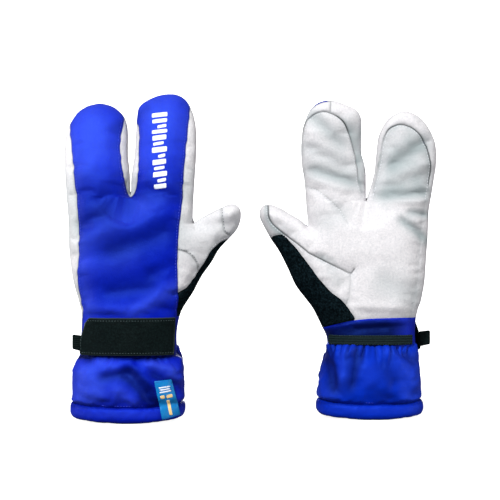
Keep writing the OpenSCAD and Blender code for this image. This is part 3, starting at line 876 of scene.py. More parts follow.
def blue_cloth(name, base, dark, light):
    m = Cloth(name)
    weave = m.times(m.wave("X", scale=0.42, distort=0.6), m.wave("Z", scale=0.42, distort=0.6))
    tone = m.noise(scale=0.035, detail=4)
    fine = m.noise(scale=0.9)
    knit = m.noise(scale=0.42, rough=0.7)
    seam_shade = tuple(value * 0.15 for value in dark[:3]) + (1.0,)
    color = m.mix(tone, m.mix(fine, dark, base), light)
    # painted highlight: paler blue where lift is set, on ridges, over the lobes, on the cuff
    # and along the hem roll
    painted_highlight = m.shade("lift", m.math("ADD", m.times(knit, 0.7), 0.25))
    color = m.mix(painted_highlight, color, srgb(56, 80, 213))
    color = m.mix(m.times(m.math("SUBTRACT", knit, 0.3), 0.6), color, dark)
    color = m.mix(m.shade("cool"), color, srgb(0, 45, 178))
    # painted shade: darker in folds and creases and over parts that lie in shade
    color = m.mix(m.shade("crease", 0.85), color, srgb(1, 6, 72))
    # seams darker, and a painted shadow on the palm's wrist band
    color = m.mix(m.shade("seam", 0.92), color, seam_shade)
    rough = m.math("ADD", m.times(fine, 0.14), 0.44)
    m.surface["Specular Tint"].default_value = (0.05, 0.17, 1.0, 1)
    bumps = [(m.noise(scale=0.16, detail=4), 0.5, 0.45), (knit, 0.45, 0.6),
             (weave, 0.14, 0.5), (fine, 0.12, 0.4)]
    return m.finish(color, rough, bumps, sheen=0.12, tint=(0.05, 0.15, 1.0, 1), specular=0.65)


def white_suede():
    m = Cloth("white_suede")
    nap = m.noise(scale=1.5, detail=5, rough=0.7)
    cloud = m.noise(scale=0.05, detail=4)
    grain = m.noise(scale=0.55, rough=0.7)
    color = m.mix(cloud, srgb(222, 218, 220), srgb(234, 231, 232))
    color = m.mix(m.times(nap, 0.34), color, srgb(190, 191, 196))
    color = m.mix(m.times(m.math("SUBTRACT", grain, 0.34), 1.3), color, srgb(176, 179, 184))
    # painted shade: greyer in folds, beside seams and over shaded parts of the palm
    color = m.mix(m.shade("crease", 0.9), color, srgb(146, 158, 160))
    color = m.mix(m.shade("seam", 0.95), color, srgb(14, 26, 31))
    color = m.mix(m.shade("dark"), color, srgb(38, 56, 60))
    bumps = [(m.noise(scale=0.14, detail=4), 0.7, 0.45), (grain, 0.8, 0.6), (nap, 0.22, 0.6)]
    return m.finish(color, 0.86, bumps, sheen=0.2, tint=(1, 1, 1, 1), specular=0.2)


def black_fleece():
    m = Cloth("black_fleece")
    pile = m.noise(scale=0.9, detail=6, rough=0.8)
    tuft = m.noise(scale=0.3, detail=4)
    speck = m.noise(scale=0.55, detail=2, rough=0.8)
    color = m.mix(m.contrast(speck, low=0.42, high=0.72),
                  m.mix(pile, srgb(0, 1, 2), srgb(3, 10, 14)), srgb(22, 38, 44))
    return m.finish(color, 0.95, [(tuft, 1.8, 0.7), (speck, 0.9, 0.8), (pile, 0.6, 0.9)],
                    tint=(0.5, 0.65, 0.75, 1), specular=0.03, sheen_rough=0.6)


def fleece_lining():
    m = Cloth("fleece_lining")
    pile = m.noise(scale=1.0, detail=6, rough=0.75)
    tuft = m.noise(scale=0.3, detail=4)
    color = m.mix(tuft, srgb(60, 66, 76), srgb(96, 104, 116))
    return m.finish(color, 0.95, [(tuft, 1.6, 0.7), (pile, 0.7, 0.9)], sheen=0.4,
                    tint=(0.9, 0.95, 1, 1), specular=0.15, sheen_rough=0.6)


def black_webbing():
    m = Cloth("black_webbing")
    ribs = m.wave("Z", scale=0.28, distort=0.5)
    cross = m.wave("X", scale=0.36, distort=0.5)
    color = m.mix(m.noise(scale=0.08, detail=4), srgb(0, 5, 6), srgb(5, 14, 15))
    fleck = m.contrast(m.noise(scale=0.75, detail=2, rough=0.8), low=0.42, high=0.75)
    color = m.mix(fleck, color, srgb(15, 29, 29))
    color = m.mix(m.shade("seam", 0.8), color, srgb(112, 128, 130))
    return m.finish(color, 0.62, [(m.noise(scale=0.2), 0.4, 0.4),
                                  (m.times(ribs, cross), 0.2, 0.7)],
                    tint=(0.7, 0.85, 0.85, 1), specular=0.05)


def loop_fastener():
    m = Cloth("loop_fastener")
    loops = m.texture("ShaderNodeTexVoronoi", "Distance", {}, Scale=1.3)
    tone = m.noise(scale=1.4, detail=4)
    color = m.mix(tone, srgb(16, 22, 24), srgb(44, 54, 56))
    return m.finish(color, 0.8, [(loops, 0.5, 0.8), (tone, 0.4, 0.6)], sheen=0.3,
                    specular=0.2)


def wrist_elastic():
    m = Cloth("wrist_elastic")
    rib = m.wave("Z", scale=0.137, distort=0.25)
    knit = m.wave("X", scale=0.3, distort=0.9)
    color = m.mix(m.times(rib, m.math("ADD", m.times(knit, 0.5), 0.5)),
                  srgb(2, 13, 15), srgb(20, 46, 48))
    color = m.mix(m.times(m.noise(scale=0.3), 0.5), color, srgb(10, 28, 29))
    return m.finish(color, 0.65, [(m.times(rib, knit), 0.6, 0.9)], specular=0.15)


def tag_ribbon():
    m = Cloth("tag_ribbon")
    satin = m.wave("DIAGONAL", scale=1.1, distort=0.3)
    color = m.mix(m.noise(scale=0.3), srgb(0, 104, 176), srgb(6, 132, 198))
    return m.finish(color, 0.42, [(satin, 0.08, 0.5)], specular=0.25)


def yarn(name, dark, light, rough=0.6, scale=2.0):
    m = Cloth(name)
    tone = m.noise(scale=scale, detail=4)
    return m.finish(m.mix(tone, dark, light), rough,
                    [(tone, 0.12, 0.6), (m.wave("DIAGONAL", scale=1.2), 0.06, 0.4)],
                    sheen=0.1, specular=0.35)


MATERIALS = {
    "blue_softshell": blue_cloth("blue_softshell", base=srgb(2, 20, 180),
                                 dark=srgb(0, 9, 116), light=srgb(4, 27, 196)),
    "blue_hem": blue_cloth("blue_hem", base=srgb(2, 20, 174), dark=srgb(0, 9, 106),
                           light=srgb(4, 27, 192)),
    "white_suede": white_suede(),
    "black_fleece": black_fleece(),
    "fleece_lining": fleece_lining(),
    "black_webbing": black_webbing(),
    "loop_fastener": loop_fastener(),
    "wrist_elastic": wrist_elastic(),
    "tag_ribbon": tag_ribbon(),
}
INK = yarn("pale_print", srgb(214, 222, 240), srgb(240, 244, 252), rough=0.55, scale=0.8)
TAG_INK = yarn("ribbon_yarn", srgb(236, 196, 122), srgb(252, 220, 160), scale=1.4)
THREAD = {
    "blue": yarn("thread_blue", srgb(16, 26, 150), srgb(58, 80, 236), rough=0.5),
    "dark": yarn("thread_dark", srgb(22, 38, 44), srgb(60, 78, 84)),
    "strap": yarn("thread_strap", srgb(40, 56, 58), srgb(92, 108, 110)),
    "grey": yarn("thread_grey", srgb(120, 134, 136), srgb(170, 182, 184)),
    "white": yarn("thread_white", srgb(206, 210, 216), srgb(240, 240, 244)),
}


# ------------------------------------------------------------------ placing pieces
def hem_centre(glove):
    low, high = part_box(glove + "_cuff_hem_roll")
    return (low.x + high.x) * 500, (low.y + high.y) * 500


CENTRE = {glove: hem_centre(glove) for glove in "ab"}
TURN = {"a": 1.0, "b": -1.0}            # glove b is turned half round


def world(glove, points):
    """glove millimetres to scene metres"""
    placed = np.array(points, float).reshape(-1, 3)
    for axis in (0, 1):
        placed[:, axis] = CENTRE[glove][axis] + TURN[glove] * placed[:, axis]
    return placed / 1000


def ride_for(glove, part):
    """the body a part rides, or (body, next body, blend start, blend end)"""
    if part == "cuff":
        return "cuff"
    if part == "hand":
        return "cuff", "hand", (0, 0, 95), (0, 0, 113)
    if part == "thumb":
        return "hand", "thumb", (57, 2, 155), (78, 2, 155)
    x = 31 if part == "index" else -29
    return "hand", part + "_lobe", (x, 0, LOBE_Z[glove]), (x, 0, 236)


def place(obj, glove, ride, node=None, slot=None):
    """move a piece into the scene, keeping its millimetres for the weave, and hang it on its
    body when it rides only one
    """
    me = obj.data
    points = read_points(me)
    rest = points + (0 if glove == "a" else 300)
    attribute = me.attributes.new("rest", "FLOAT_VECTOR", "POINT")
    attribute.data.foreach_set("vector", rest.astype(np.float32).ravel())
    for shade in ("crease", "seam", "dark", "lift"):
        if shade not in me.attributes:
            me.attributes.new(shade, "FLOAT", "POINT")
    me.vertices.foreach_set("co", world(glove, points).ravel())
    me.update()
    obj.name = me.name = f"{glove}_{obj.name}"
    if isinstance(ride, str):
        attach(obj, f"{glove}_{ride}")
    else:
        body, other, start, end = ride
        tuple(world(glove, start)[0])
        tuple(world(glove, end)[0])
        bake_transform(obj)
    if node:
        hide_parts(f"{glove}_{node}")


# ------------------------------------------------------------------ stitches
# (place along the stitch, width, lift) of its cross sections
STITCH_PROFILE = [(0.0, 0.25, -0.3), (0.08, 0.75, 0.0), (0.3, 1.0, 0.22), (0.5, 1.0, 0.3),
                  (0.7, 1.0, 0.22), (0.92, 0.75, 0.0), (1.0, 0.25, -0.3)]
STITCH_SIDES = 6


def stitches(name, rows, material, radius):
    """small thread segments, each given as (start, end, normal)"""
    verts, faces = [], []
    sides = STITCH_SIDES
    for start, end, normal in rows:
        run = end - start
        length = np.linalg.norm(run)
        if length < 1e-6:
            continue
        run = run / length
        normal = normal - run * (normal @ run)
        normal = normal / max(np.linalg.norm(normal), 1e-9)
        across = np.cross(run, normal)
        base = len(verts)
        for t, width, up in STITCH_PROFILE:
            centre = start + run * length * t + normal * up * radius
            for i in range(sides):
                angle = math.tau / sides * i
                spoke = across * math.cos(angle) + normal * math.sin(angle) * 0.8
                verts.append(centre + spoke * radius * width)
        last = base + (len(STITCH_PROFILE) - 1) * sides
        for ring in range(base, last, sides):
            for j in range(sides):
                k = (j + 1) % sides
                faces.append((ring + j, ring + k, ring + sides + k, ring + sides + j))
        faces.append(tuple(base + j for j in reversed(range(sides))))
        faces.append(tuple(last + j for j in range(sides)))
    return mesh_object(name, verts, faces, material)


def thread_rows(points, normals, pitch, start, end, middle, lift=0.0):
    """stitches along a line; start, end and middle are fractions of the pitch"""
    length = lengths(points)
    rows = []
    for i in range(int(length[-1] / pitch)):
        normal = along((i + middle) * pitch, length, normals)
        first, last = (along((i + t) * pitch, length, points) for t in (start, end))
        rows.append((first + normal * lift, last + normal * lift, normal))
    return rows


def stitch_row(surface, line, pitch, fill, lift=0.0):
    """stitches along a flat line laid on surface(flat) -> points, normals"""
    points, normals = surface(resample(line, 0.5))
    return thread_rows(points, normals, pitch, start=0.14, end=0.14 + fill,
                       middle=0.14 + fill / 2, lift=lift)


# ------------------------------------------------------------------ thin sewn-on parts
def raised(surface, lift):
    def higher(flat):
        points, normals = surface(flat)
        return points + normals * lift, normals
    return higher


def pad(name, outline, surface, half, edge, step, material, relief=None):
    """closed pad on surface(flat) -> middle points and normals

    half is its half thickness, edge the reach of its rounding, and relief(flat) lifts its top
    """
    outline = resample(outline, step, True)
    if signed_area(outline) < 0:
        outline = outline[::-1]
    cloud = Cloud(max(step, 0.5))
    edges = cloud.add_outline(outline)
    inward = left_normals(outline, True)
    for part in (0.12, 0.45, 1.0, 1.8):
        cloud.add_ring(outline + inward * edge * part, outline, clear=edge * part * 0.93,
                       gap=min(step * 0.5, edge * part * 0.6))
    cloud.add_grid(outline, step, clear=edge * 1.8 + 0.25 * step, gap=step * 0.55)
    flat, faces, _ = cloud.triangles(edges, outline)
    rim = np.clip(seg_dist(flat, outline, True) / edge, 0, 1)
    full = np.sqrt(np.maximum(1 - (1 - rim) ** 2, 0))
    points, normals = surface(flat)
    lift = relief(flat) if relief else 0.0
    both = np.vstack([points + normals * (half * full + lift * full)[:, None],
                      points - normals * (half * full)[:, None]])
    first, faces, _ = weld(both, np.vstack([faces, faces[:, ::-1] + len(flat)]), 0.004)
    me = mesh_data(name, both[first], faces.tolist())
    turn_outward(me)
    me.materials.append(material)
    return link(name, me)


def rounded(corners, radius, pieces=5):
    """closed polygon with its corners rounded, to one radius or a list of them"""
    corners = np.asarray(corners, float)
    count = len(corners)
    outline = []
    for i, corner in enumerate(corners):
        size = radius[i] if isinstance(radius, list) else radius
        back, ahead = corners[i - 1] - corner, corners[(i + 1) % count] - corner
        back_length, ahead_length = np.linalg.norm(back), np.linalg.norm(ahead)
        back, ahead = back / back_length, ahead / ahead_length
        angle = math.acos(np.clip(back @ ahead, -0.999, 0.999))
        cut = min(size / math.tan(angle / 2), 0.45 * back_length, 0.45 * ahead_length)
        start, end = corner + back * cut, corner + ahead * cut
        for j in range(pieces + 1):
            t = j / pieces
            outline.append((1 - t) ** 2 * start + 2 * t * (1 - t) * corner + t * t * end)
    return np.array(outline)


def rectangle(x0, x1, z0, z1, radius, pieces=5):
    return rounded([(x0, z0), (x1, z0), (x1, z1), (x0, z1)], radius, pieces)


# ------------------------------------------------------------------ the cuff's section
# (z, half width) away from the thumb and toward it, at each glove
CUFF_AWAY = {
    "a": [(10, 51), (20, 50.6), (34, 51.2), (46, 50.6), (54, 47), (60, 44.2), (68, 43.4),
          (80, 42.8)],
    "b": [(10, 47.6), (20, 47), (34, 46.6), (46, 46.2), (56, 45.2), (64, 43.2), (70, 42.2),
          (80, 41.9)],
}
CUFF_THUMB = {
    "a": [(10, 51), (20, 51.2), (34, 51.6), (48, 51.2), (56, 49.8), (62, 47.6), (70, 45.2),
          (80, 44.6)],
    "b": [(10, 49.4), (20, 49.2), (34, 48.4), (44, 46.8), (56, 43.4), (64, 41.2), (70, 40.4),
          (80, 41)],
}
CUFF_DEPTH = [(10, 31), (24, 31.5), (40, 31), (52, 29), (62, 26.6), (70, 25.4), (80, 25.2)]
CUFF_POWER = [(10, 2.8), (60, 2.7), (80, 2.6)]          # (z, power of the superellipse)


def cuff_shape(glove, z):
    """half widths away from and toward the thumb, half depth and power at height z"""
    return [table_at(z, table)
            for table in (CUFF_AWAY[glove], CUFF_THUMB[glove], CUFF_DEPTH, CUFF_POWER)]


def cuff_point(glove, angle, z, out=0.0):
    """x, y on the cuff, out mm outside it; angle 0 is the thumb side, 90 degrees the palm"""
    away, thumb, depth, power = cuff_shape(glove, z)
    c, s = np.cos(angle), np.sin(angle)
    width = np.where(c >= 0, thumb, away)
    return (np.sign(c) * (width + out) * np.abs(c) ** (2 / power),
            np.sign(s) * (depth + out) * np.abs(s) ** (2 / power))


def cuff_outward(glove, angle, z):
    x, y = cuff_point(glove, angle, z)
    outer_x, outer_y = cuff_point(glove, angle, z, 1.0)
    return unit(np.c_[outer_x - x, outer_y - y, np.zeros_like(x)])


def wrap(glove, z, side, out, wave=None, free=None):
    """surface over (arc length, z) round one side of the cuff, and x -> arc length

    side is 1 for the palm and -1 for the back; past x = free the band runs on straight
    """
    angle = np.linspace(0, math.pi, 721) * side
    x, y = cuff_point(glove, angle, np.full_like(angle, z))
    tangent = unit(np.gradient(np.c_[x, y], axis=0))
    normal = np.c_[tangent[:, 1], -tangent[:, 0]] * side
    x, y = x + normal[:, 0] * out, y + normal[:, 1] * out
    arc = np.r_[0, np.cumsum(np.hypot(np.diff(x), np.diff(y)))]
    arc = np.interp(0, -x, arc) - arc           # grows toward the thumb side
    arc, x, y, normal = arc[::-1], x[::-1], y[::-1], normal[::-1]
    if free is not None:
        i = int(np.argmin(np.abs(x - free)))
        past = arc < arc[i]
        run = np.array([x[i + 1] - x[i], y[i + 1] - y[i]])
        run /= np.linalg.norm(run)
        x[past] = x[i] + run[0] * (arc[past] - arc[i])
        y[past] = y[i] + run[1] * (arc[past] - arc[i])
        normal[past] = normal[i]

    def surface(flat):
        points = np.c_[along(flat[:, 0], arc, np.c_[x, y]), flat[:, 1]]
        normals = unit(np.c_[along(flat[:, 0], arc, normal), np.zeros(len(flat))])
        if wave is not None:
            points = points + normals * wave(*flat.T)[:, None]
        return points, normals

    return surface, lambda x_value: np.interp(x_value, x, arc)


# ------------------------------------------------------------------ cloth that settles
def settle(points, faces, pin, frames, pressure, grow, bend, cap):
    """run the sheet as cloth, pinned by weight, and return each point's move

    grow is how much longer the cloth is than its place; moves are held to cap mm
    """
    scale = 0.01                # 100 mm to a unit, so the solver works near its own scale
    me = mesh_data("cloth_tmp", points * scale, np.asarray(faces).tolist())
    obj = link("cloth_tmp", me)
    group = obj.vertex_groups.new(name="pin")
    pin = np.round(pin, 2)
    for weight in np.unique(pin):
        if weight > 0:
            group.add(np.nonzero(pin == weight)[0].tolist(), float(weight), "REPLACE")
    modifier = obj.modifiers.new("cloth", "CLOTH")
    cloth = modifier.settings
    cloth.quality = 6
    cloth.mass = 0.3
    cloth.air_damping = 2.0
    cloth.tension_stiffness = cloth.compression_stiffness = cloth.shear_stiffness = 14
    cloth.bending_stiffness = bend
    cloth.tension_damping = cloth.compression_damping = cloth.shear_damping = 8
    cloth.bending_damping = 1.0
    cloth.vertex_group_mass = "pin"
    cloth.pin_stiffness = 1.0
    cloth.effector_weights.gravity = 0.0
    cloth.use_pressure = True
    cloth.uniform_pressure_force = pressure
    cloth.shrink_min = -grow
    modifier.collision_settings.use_collision = False
    modifier.collision_settings.use_self_collision = False
    modifier.point_cache.frame_start, modifier.point_cache.frame_end = 1, frames
    start_frame = SCENE.frame_current
    for frame in range(1, frames + 1):
        SCENE.frame_set(frame)
    settled = obj.evaluated_get(bpy.context.evaluated_depsgraph_get())
    move = read_points(settled.data) / scale - points
    obj.modifiers.remove(modifier)
    bpy.data.objects.remove(obj)
    bpy.data.meshes.remove(me)
    SCENE.frame_set(start_frame)
    move[~np.isfinite(move).all(1)] = 0
    length = np.linalg.norm(move, axis=1)
    return move * (cap * np.tanh(length / cap) / np.maximum(length, 1e-9))[:, None]


def spread(source, move, points):
    """carry the movement of the source points over to other points"""
    tree = KDTree(len(source))
    for i, point in enumerate(source):
        tree.insert(point, i)
    tree.balance()
    carried = np.zeros((len(points), 3))
    for i, point in enumerate(points):
        near = tree.find_n(point, 5)
        weight = np.array([1 / (hit[2] ** 2 + 0.5) for hit in near])
        carried[i] = (move[[hit[1] for hit in near]] * weight[:, None]).sum(0) / weight.sum()
    return carried


# ------------------------------------------------------------------ the body's pieces
# piece: (frame node, material slot, part it rides)
BODY_PIECES = {
    "back_hand": ("hand_back_panel", "blue_softshell", "hand"),
    "palm_hand": ("hand_palm_panel", "white_suede", "hand"),
    "gusset_hand_outer": ("hand_outer_gusset", "white_suede", "hand"),
    "gusset_hand_thumb": ("hand_thumb_gusset", "white_suede", "hand"),
    "hand_fleece": ("hand_fleece_gusset", "black_fleece", "hand"),
    "wrist_palm": (None, "blue_softshell", "cuff"),
    "back_index": ("index_back_panel", "blue_softshell", "index"),
    "palm_index": ("index_palm_panel", "white_suede", "index"),
    "gusset_index": ("index_gusset", "white_suede", "index"),
    "back_outer": ("outer_back_panel", "blue_softshell", "outer"),
    "palm_outer": ("outer_palm_panel", "white_suede", "outer"),
    "gusset_outer": ("outer_gusset", "white_suede", "outer"),
    "thumb_back": ("thumb_back_panel", "white_suede", "thumb"),
    "thumb_palm": ("thumb_palm_panel", "white_suede", "thumb"),
    "thumb_tip": ("thumb_tip_patch", "white_suede", "thumb"),
    "thumb_fleece": ("thumb_fleece_gusset", "black_fleece", "thumb"),
}
BODY_THICK = 1.1
SETTLED = {}                    # glove: {side: (points, how far each one settled)}


def painted_highlight_of(glove, side, flat):
    """painted highlight: how much paler the blue is made on the ridges, over the lobes and
    toward the outer side
    """
    x, z = flat.T
    lift = np.zeros(len(flat))
    for start, end, rise, width in folds_on(glove, side):
        if rise > 0:
            lift = lift + fold(flat, start, end, rise, width * 1.3) / 2.6
    if side == "back":
        patchy = lumps(np.c_[x, np.zeros(len(x)), z], 0.03, 12.4)
        lift = lift + 0.85 * smooth((z - 213) / 33) * (1 + 0.5 * patchy)
        lift = lift + 0.35 * smooth((-18 - x) / 30)
    return np.clip(lift, 0, 1)


def palm_painted_shade(glove, flat):
    """extra painted shade on the palm: the lobe panels, the wall beside them, thumb seam and
    wrist
    """
    x, z = flat.T
    outer = inside(flat, curve(glove, "palm", "outer"))
    index = inside(flat, curve(glove, "palm", "index"))
    grey = (outer & (z > 200)) * 0.4 * smooth((z - 198) / 22)
    grey = grey + (index & (z > 200)) * 0.04 * smooth((z - 205) / 22)
    wall = ~(index | outer) & (x > 6) & (x < 34) & (z > 205) & (z < 290)
    grey = grey + wall * 0.5 * smooth((z - 205) / 20) * smooth((286 - z) / 16)
    thumb = curve(glove, "palm", "thumb")
    under = (x > 80) & (x < 100) & (z < level(x, thumb))
    grey = grey + under * 0.75 * bell(seg_dist(flat, thumb) / 5.0)
    band = z < level(x, curve(glove, "palm", "wrist")) - 0.8
    return grey + band * (0.25 + 0.75 * smooth((x + 34) / 26))


def crease_of(glove, side, flat, y):
    """painted shade: how deep each point sits in a fold or a seam, with more over shaded parts
    of the back and the palm
    """
    x, z = flat.T
    crease = np.zeros(len(flat))
    for start, end, rise, width in folds_on(glove, side):
        if rise < 0:
            crease = crease + fold(flat, start, end, -rise, width * 1.5) / 4.3
    for line, *_ in GROOVES[glove][side]:
        crease = crease + 0.16 * bell(seg_dist(flat, line) / 2.4)
    if side == "back":
        # painted shade across the middle and upper part of the back
        crease = crease + (0.25 * smooth((34 - np.abs(z - 168)) / 26)
                           * smooth((x + 30) / 40))
        upper = np.maximum(smooth((z - 194) / 10), smooth((12 - x) / 30))
        crease = crease + 0.26 * upper * smooth((z - 144) / 14) * smooth((238 - z) / 16)
        return np.clip(crease, 0, 1)
    patchy = lumps(np.c_[x, y, z], 0.09, 4.4)
    return np.clip(np.clip(crease, 0, 1) + palm_painted_shade(glove, flat) * (1 + 0.8 * patchy), 0, 1)


def seam_of(glove, side, flat):
    """how dark the seams are, with a painted shadow on the palm's wrist band"""
    x, z = flat.T
    seam = np.zeros(len(flat))
    for line, _, _, dark in GROOVES[glove][side]:
        dark = dark(x, z) if callable(dark) else dark
        seam = np.maximum(seam, dark * bell(seg_dist(flat, line) / 0.6))
    if side == "palm":
        # the wrist band lies in shadow between its seam and the elastic
        gap = level(x, curve(glove, "palm", "wrist")) - z
        shadow = smooth((gap - 1.5) / 4) * smooth((x + 36) / 22) * (z < 95)
        seam = np.maximum(seam, shadow)
    return seam


def ease_fork(glove, flat, points, faces):
    """let the cloth run smoothly under the fork of the lobes"""
    weight = (0.7 * near_fork(flat, 197, reach=26, soft=12)
              * smooth((seg_dist(flat, OUTLINE[glove]) - 0.6) / 2))
    edges = np.vstack([faces[:, [0, 1]], faces[:, [1, 2]], faces[:, [2, 0]]])
    start, end = np.vstack([edges, edges[:, ::-1]]).T
    count = len(points)
    degree = np.maximum(np.bincount(start, minlength=count), 1)
    for _ in range(24):
        mean = np.bincount(start, weights=points[end, 1], minlength=count) / degree
        points[:, 1] += weight * (mean - points[:, 1])


def body_sheet(glove, side):
    """points, faces, piece of each face and the three shades of one side"""
    flat, faces = triangulate(glove, split_lines(glove, side))
    points, y = cloth_points(glove, side, flat)
    label = back_labels if side == "back" else palm_labels
    pieces = label(glove, flat[faces].mean(1))
    ease_fork(glove, flat, points, faces)
    if side == "palm":
        faces = faces[:, ::-1]
    shades = np.c_[crease_of(glove, side, flat, y), seam_of(glove, side, flat),
                   painted_highlight_of(glove, side, flat)]
    return points, faces, pieces, shades


def build_body(glove):
    back, palm = body_sheet(glove, "back"), body_sheet(glove, "palm")
    points = np.vstack([back[0], palm[0]])
    first, faces, whole = weld(points, np.vstack([back[1], palm[1] + len(back[0])]), 0.02)
    pieces = np.r_[back[2], palm[2]][whole]
    crease, seam, lift = np.vstack([back[3], palm[3]])[first].T
    shades = {"crease": crease, "seam": seam, "lift": lift}
    points = settle_body(glove, points[first])
    normals = vertex_normals(points, faces)
    for name, (node, slot, part) in BODY_PIECES.items():
        chosen = pieces == name
        if chosen.any():
            obj = shell(name, points, normals, faces[chosen], MATERIALS[slot], BODY_THICK,
                        shades)
            place(obj, glove, ride_for(glove, part), node, slot)


def settle_body(glove, points):
    """let the padding push the panels out between their seams"""
    sheets, sheet_faces, pins = [], [], []
    for side in ("back", "palm"):
        flat, faces = triangulate(glove, split_lines(glove, side)[:1], "middle")
        seam_gap = np.full(len(flat), 99.0)
        for line, *_ in GROOVES[glove][side]:
            seam_gap = np.minimum(seam_gap, seg_dist(flat, line))
        pin = np.clip(1.0 - seam_gap / 5.5, 0, 0.9)
        edge = seg_dist(flat, OUTLINE[glove])
        for hold in (np.clip(1.15 - edge / 5.0, 0, 1.0), smooth((104 - flat[:, 1]) / 10),
                     near_fork(flat, 204, reach=30, soft=14), 0.12):
            pin = np.maximum(pin, hold)
        sheets.append(np.c_[flat[:, 0], height(glove, side, flat), flat[:, 1]])
        sheet_faces.append(faces if side == "back" else faces[:, ::-1] + len(sheets[0]))
        pins.append(pin)
    sheet = np.vstack(sheets)
    first, faces, _ = weld(sheet, np.vstack(sheet_faces), 0.05)
    sheet, pin = sheet[first], np.concatenate(pins)[first]
    # a little unevenness so that it wrinkles and doesn't only swell
    uneven = vertex_normals(sheet, faces) * lumps(sheet, 0.13, 17.0)[:, None] * 0.5
    move = settle(sheet + uneven, faces, pin, frames=22, pressure=4.0, grow=0.035, bend=0.15,
                  cap=2.3)
    move = move * smooth((sheet[:, 2] - 92) / 14)[:, None]
    back = sheet[:, 1] < mid_y(glove, sheet[:, [0, 2]])
    SETTLED[glove] = {"back": (sheet[back], move[back]), "palm": (sheet[~back], move[~back])}
    return points + spread(sheet, move, points)


def body_surface(glove, side):
    """the finished surface over (x, z), after the cloth has settled"""
    def surface(flat, reach=0.5):
        here, right, above = (cloth_points(glove, side, flat + shift)[0]
                              for shift in ([0, 0], [reach, 0], [0, reach]))
        normals = np.cross(right - here, above - here)
        normals *= np.sign(normals[:, 1] * SIGN[side])[:, None]
        if glove in SETTLED:
            here = here + spread(*SETTLED[glove][side], here)
        return here, unit(normals)
    return surface


LINING_INSET, LINING_THICK = 3.4, 1.6
# piece: (frame node, part it rides)
LININGS = {"lining_hand": ("hand_liner", "hand"), "lining_index": ("index_liner", "index"),
           "lining_outer": ("outer_liner", "outer"), "lining_thumb": ("thumb_liner", "thumb")}


def build_linings(glove):
    inset = LINING_INSET
    flat, faces = triangulate(glove, [level_line(BODY_Z0), level_line(LOBE_Z[glove]),
                                      np.array([(THUMB_X, 75), (THUMB_X, 182)])], "coarse")
    x, z = flat[faces].mean(1).T
    index = x > FORK_X[glove]
    pieces = np.array(["lining_hand"] * len(faces), dtype=object)
    pieces[(z > LOBE_Z[glove]) & index & (x < 72)] = "lining_index"
    pieces[(z > LOBE_Z[glove]) & ~index] = "lining_outer"
    pieces[(x > THUMB_X) & (z < 182 + 0.3 * (x - 60))] = "lining_thumb"
    pieces[(x > 63) & (z < 208)] = "lining_thumb"
    # pull the sheet inside the shell, and clear of it under the fork
    edge = seg_dist(flat, OUTLINE[glove])
    thumb = thumbness(flat)
    depth = np.maximum(
        table_at(flat[:, 1], DEPTH) * (1 - thumb) + THUMB_DEPTH * thumb - inset, 3)
    y = depth * edge_round((edge - inset) / (np.maximum(depth + inset, 6) * EDGE_REACH))
    y = y * (1 - 0.5 * near_fork(flat, 200, reach=34, soft=16))
    points = np.vstack([np.c_[flat[:, 0], mid_y(glove, flat) + sign * y, flat[:, 1]]
                        for sign in (-1, 1)])
    faces = np.vstack([faces, faces[:, ::-1] + len(flat)])
    keep = (np.r_[edge, edge][faces] > inset * 0.4).any(1)
    first, faces, whole = weld(points, faces[keep], 0.05)
    pieces = np.r_[pieces, pieces][keep][whole]
    points = points[first]
    normals = vertex_normals(points, faces)
    for name, (node, part) in LININGS.items():
        obj = shell(name, points, normals, faces[pieces == name], MATERIALS["fleece_lining"],
                    LINING_THICK)
        place(obj, glove, ride_for(glove, part), node, "fleece_lining")


# ------------------------------------------------------------------ cuff
# (x, depth) of the pleats below the elastic
GATHERS = {
    "a": [(-36, 2.4), (-29, 1.4), (-22, 2.2), (-14.5, 2.6), (-7, 1.4), (-1, 2.2), (8, 2.6),
          (14, 1.4), (20, 2.2), (27, 1.6), (33, 2.5), (39, 1.6)],
    "b": [(37, 1.6), (32, 2.8), (27, 1.4), (22, 2.0), (15.5, 1.5), (9.3, 3.0), (3.5, 1.6),
          (-1.5, 2.0), (-8, 1.4), (-14.8, 2.8), (-20, 1.6), (-25.1, 2.8), (-31, 1.6),
          (-36, 2.2)],
}
# folds on the cuff: start (x, z), end (x, z), height, width
CUFF_FOLDS = {
    "back": [
        ((-22, 41), (2, 46), -1.8, 4.2), ((2, 47), (21, 29), -3.4, 5.4),
        ((21, 29), (30, 14), -3.0, 5.4), ((-37, 50), (-24, 24), 2.0, 8.5),
        ((-8, 32), (12, 17), 1.8, 5.5), ((19, 55.5), (43, 47), 2.4, 3.8),
        ((-6, 60), (36, 60), -1.6, 2.6), ((24, 45), (46, 33), -1.8, 3.6),
        ((38, 44), (50, 38), 1.6, 3.6), ((-46, 60), (-30, 56), -1.4, 3.0),
        ((-40, 24), (-8, 18), -0.7, 3.6), ((-24, 56), (-6, 50), 1.2, 4.5),
        ((30, 26), (46, 20), 1.2, 4.5)],
    "palm": [
        ((41, 62), (35, 27), -2.8, 4.6), ((20, 66), (28, 38), 2.4, 4.4),
        ((28, 38), (37, 18), 2.4, 5.0), ((13, 64), (22, 28), -2.0, 4.2),
        ((-15, 66), (-25, 50), 1.8, 4.4), ((-25, 50), (-40, 30), 1.8, 6.0),
        ((-8, 52), (-20, 34), -1.2, 6.5), ((-30, 60), (-40, 50), -1.4, 3.8),
        ((0, 26), (-22, 19), -1.2, 5), ((8, 50), (4, 32), 1.1, 6)],
}
CUFF_AROUND, CUFF_ROWS, CUFF_Z = 300, 62, (10.5, 79.0)
CUFF_THICK = 1.2
CUFF_SEED = {"a": 21.3, "b": 47.9}
CUFF_COOL = {"a": 0.0, "b": 0.72}       # how far the blue turns cooler
HEM_COOL = {"a": 0.0, "b": 0.6}


def cuff_grid(glove, around, z_range, rows, out=0.0):
    angle, z = np.meshgrid(np.linspace(0, 2 * math.pi, around, endpoint=False),
                           np.linspace(*z_range, rows), indexing="ij")
    angle, z = angle.ravel(), z.ravel()
    return angle, np.c_[(*cuff_point(glove, angle, z, out), z)]


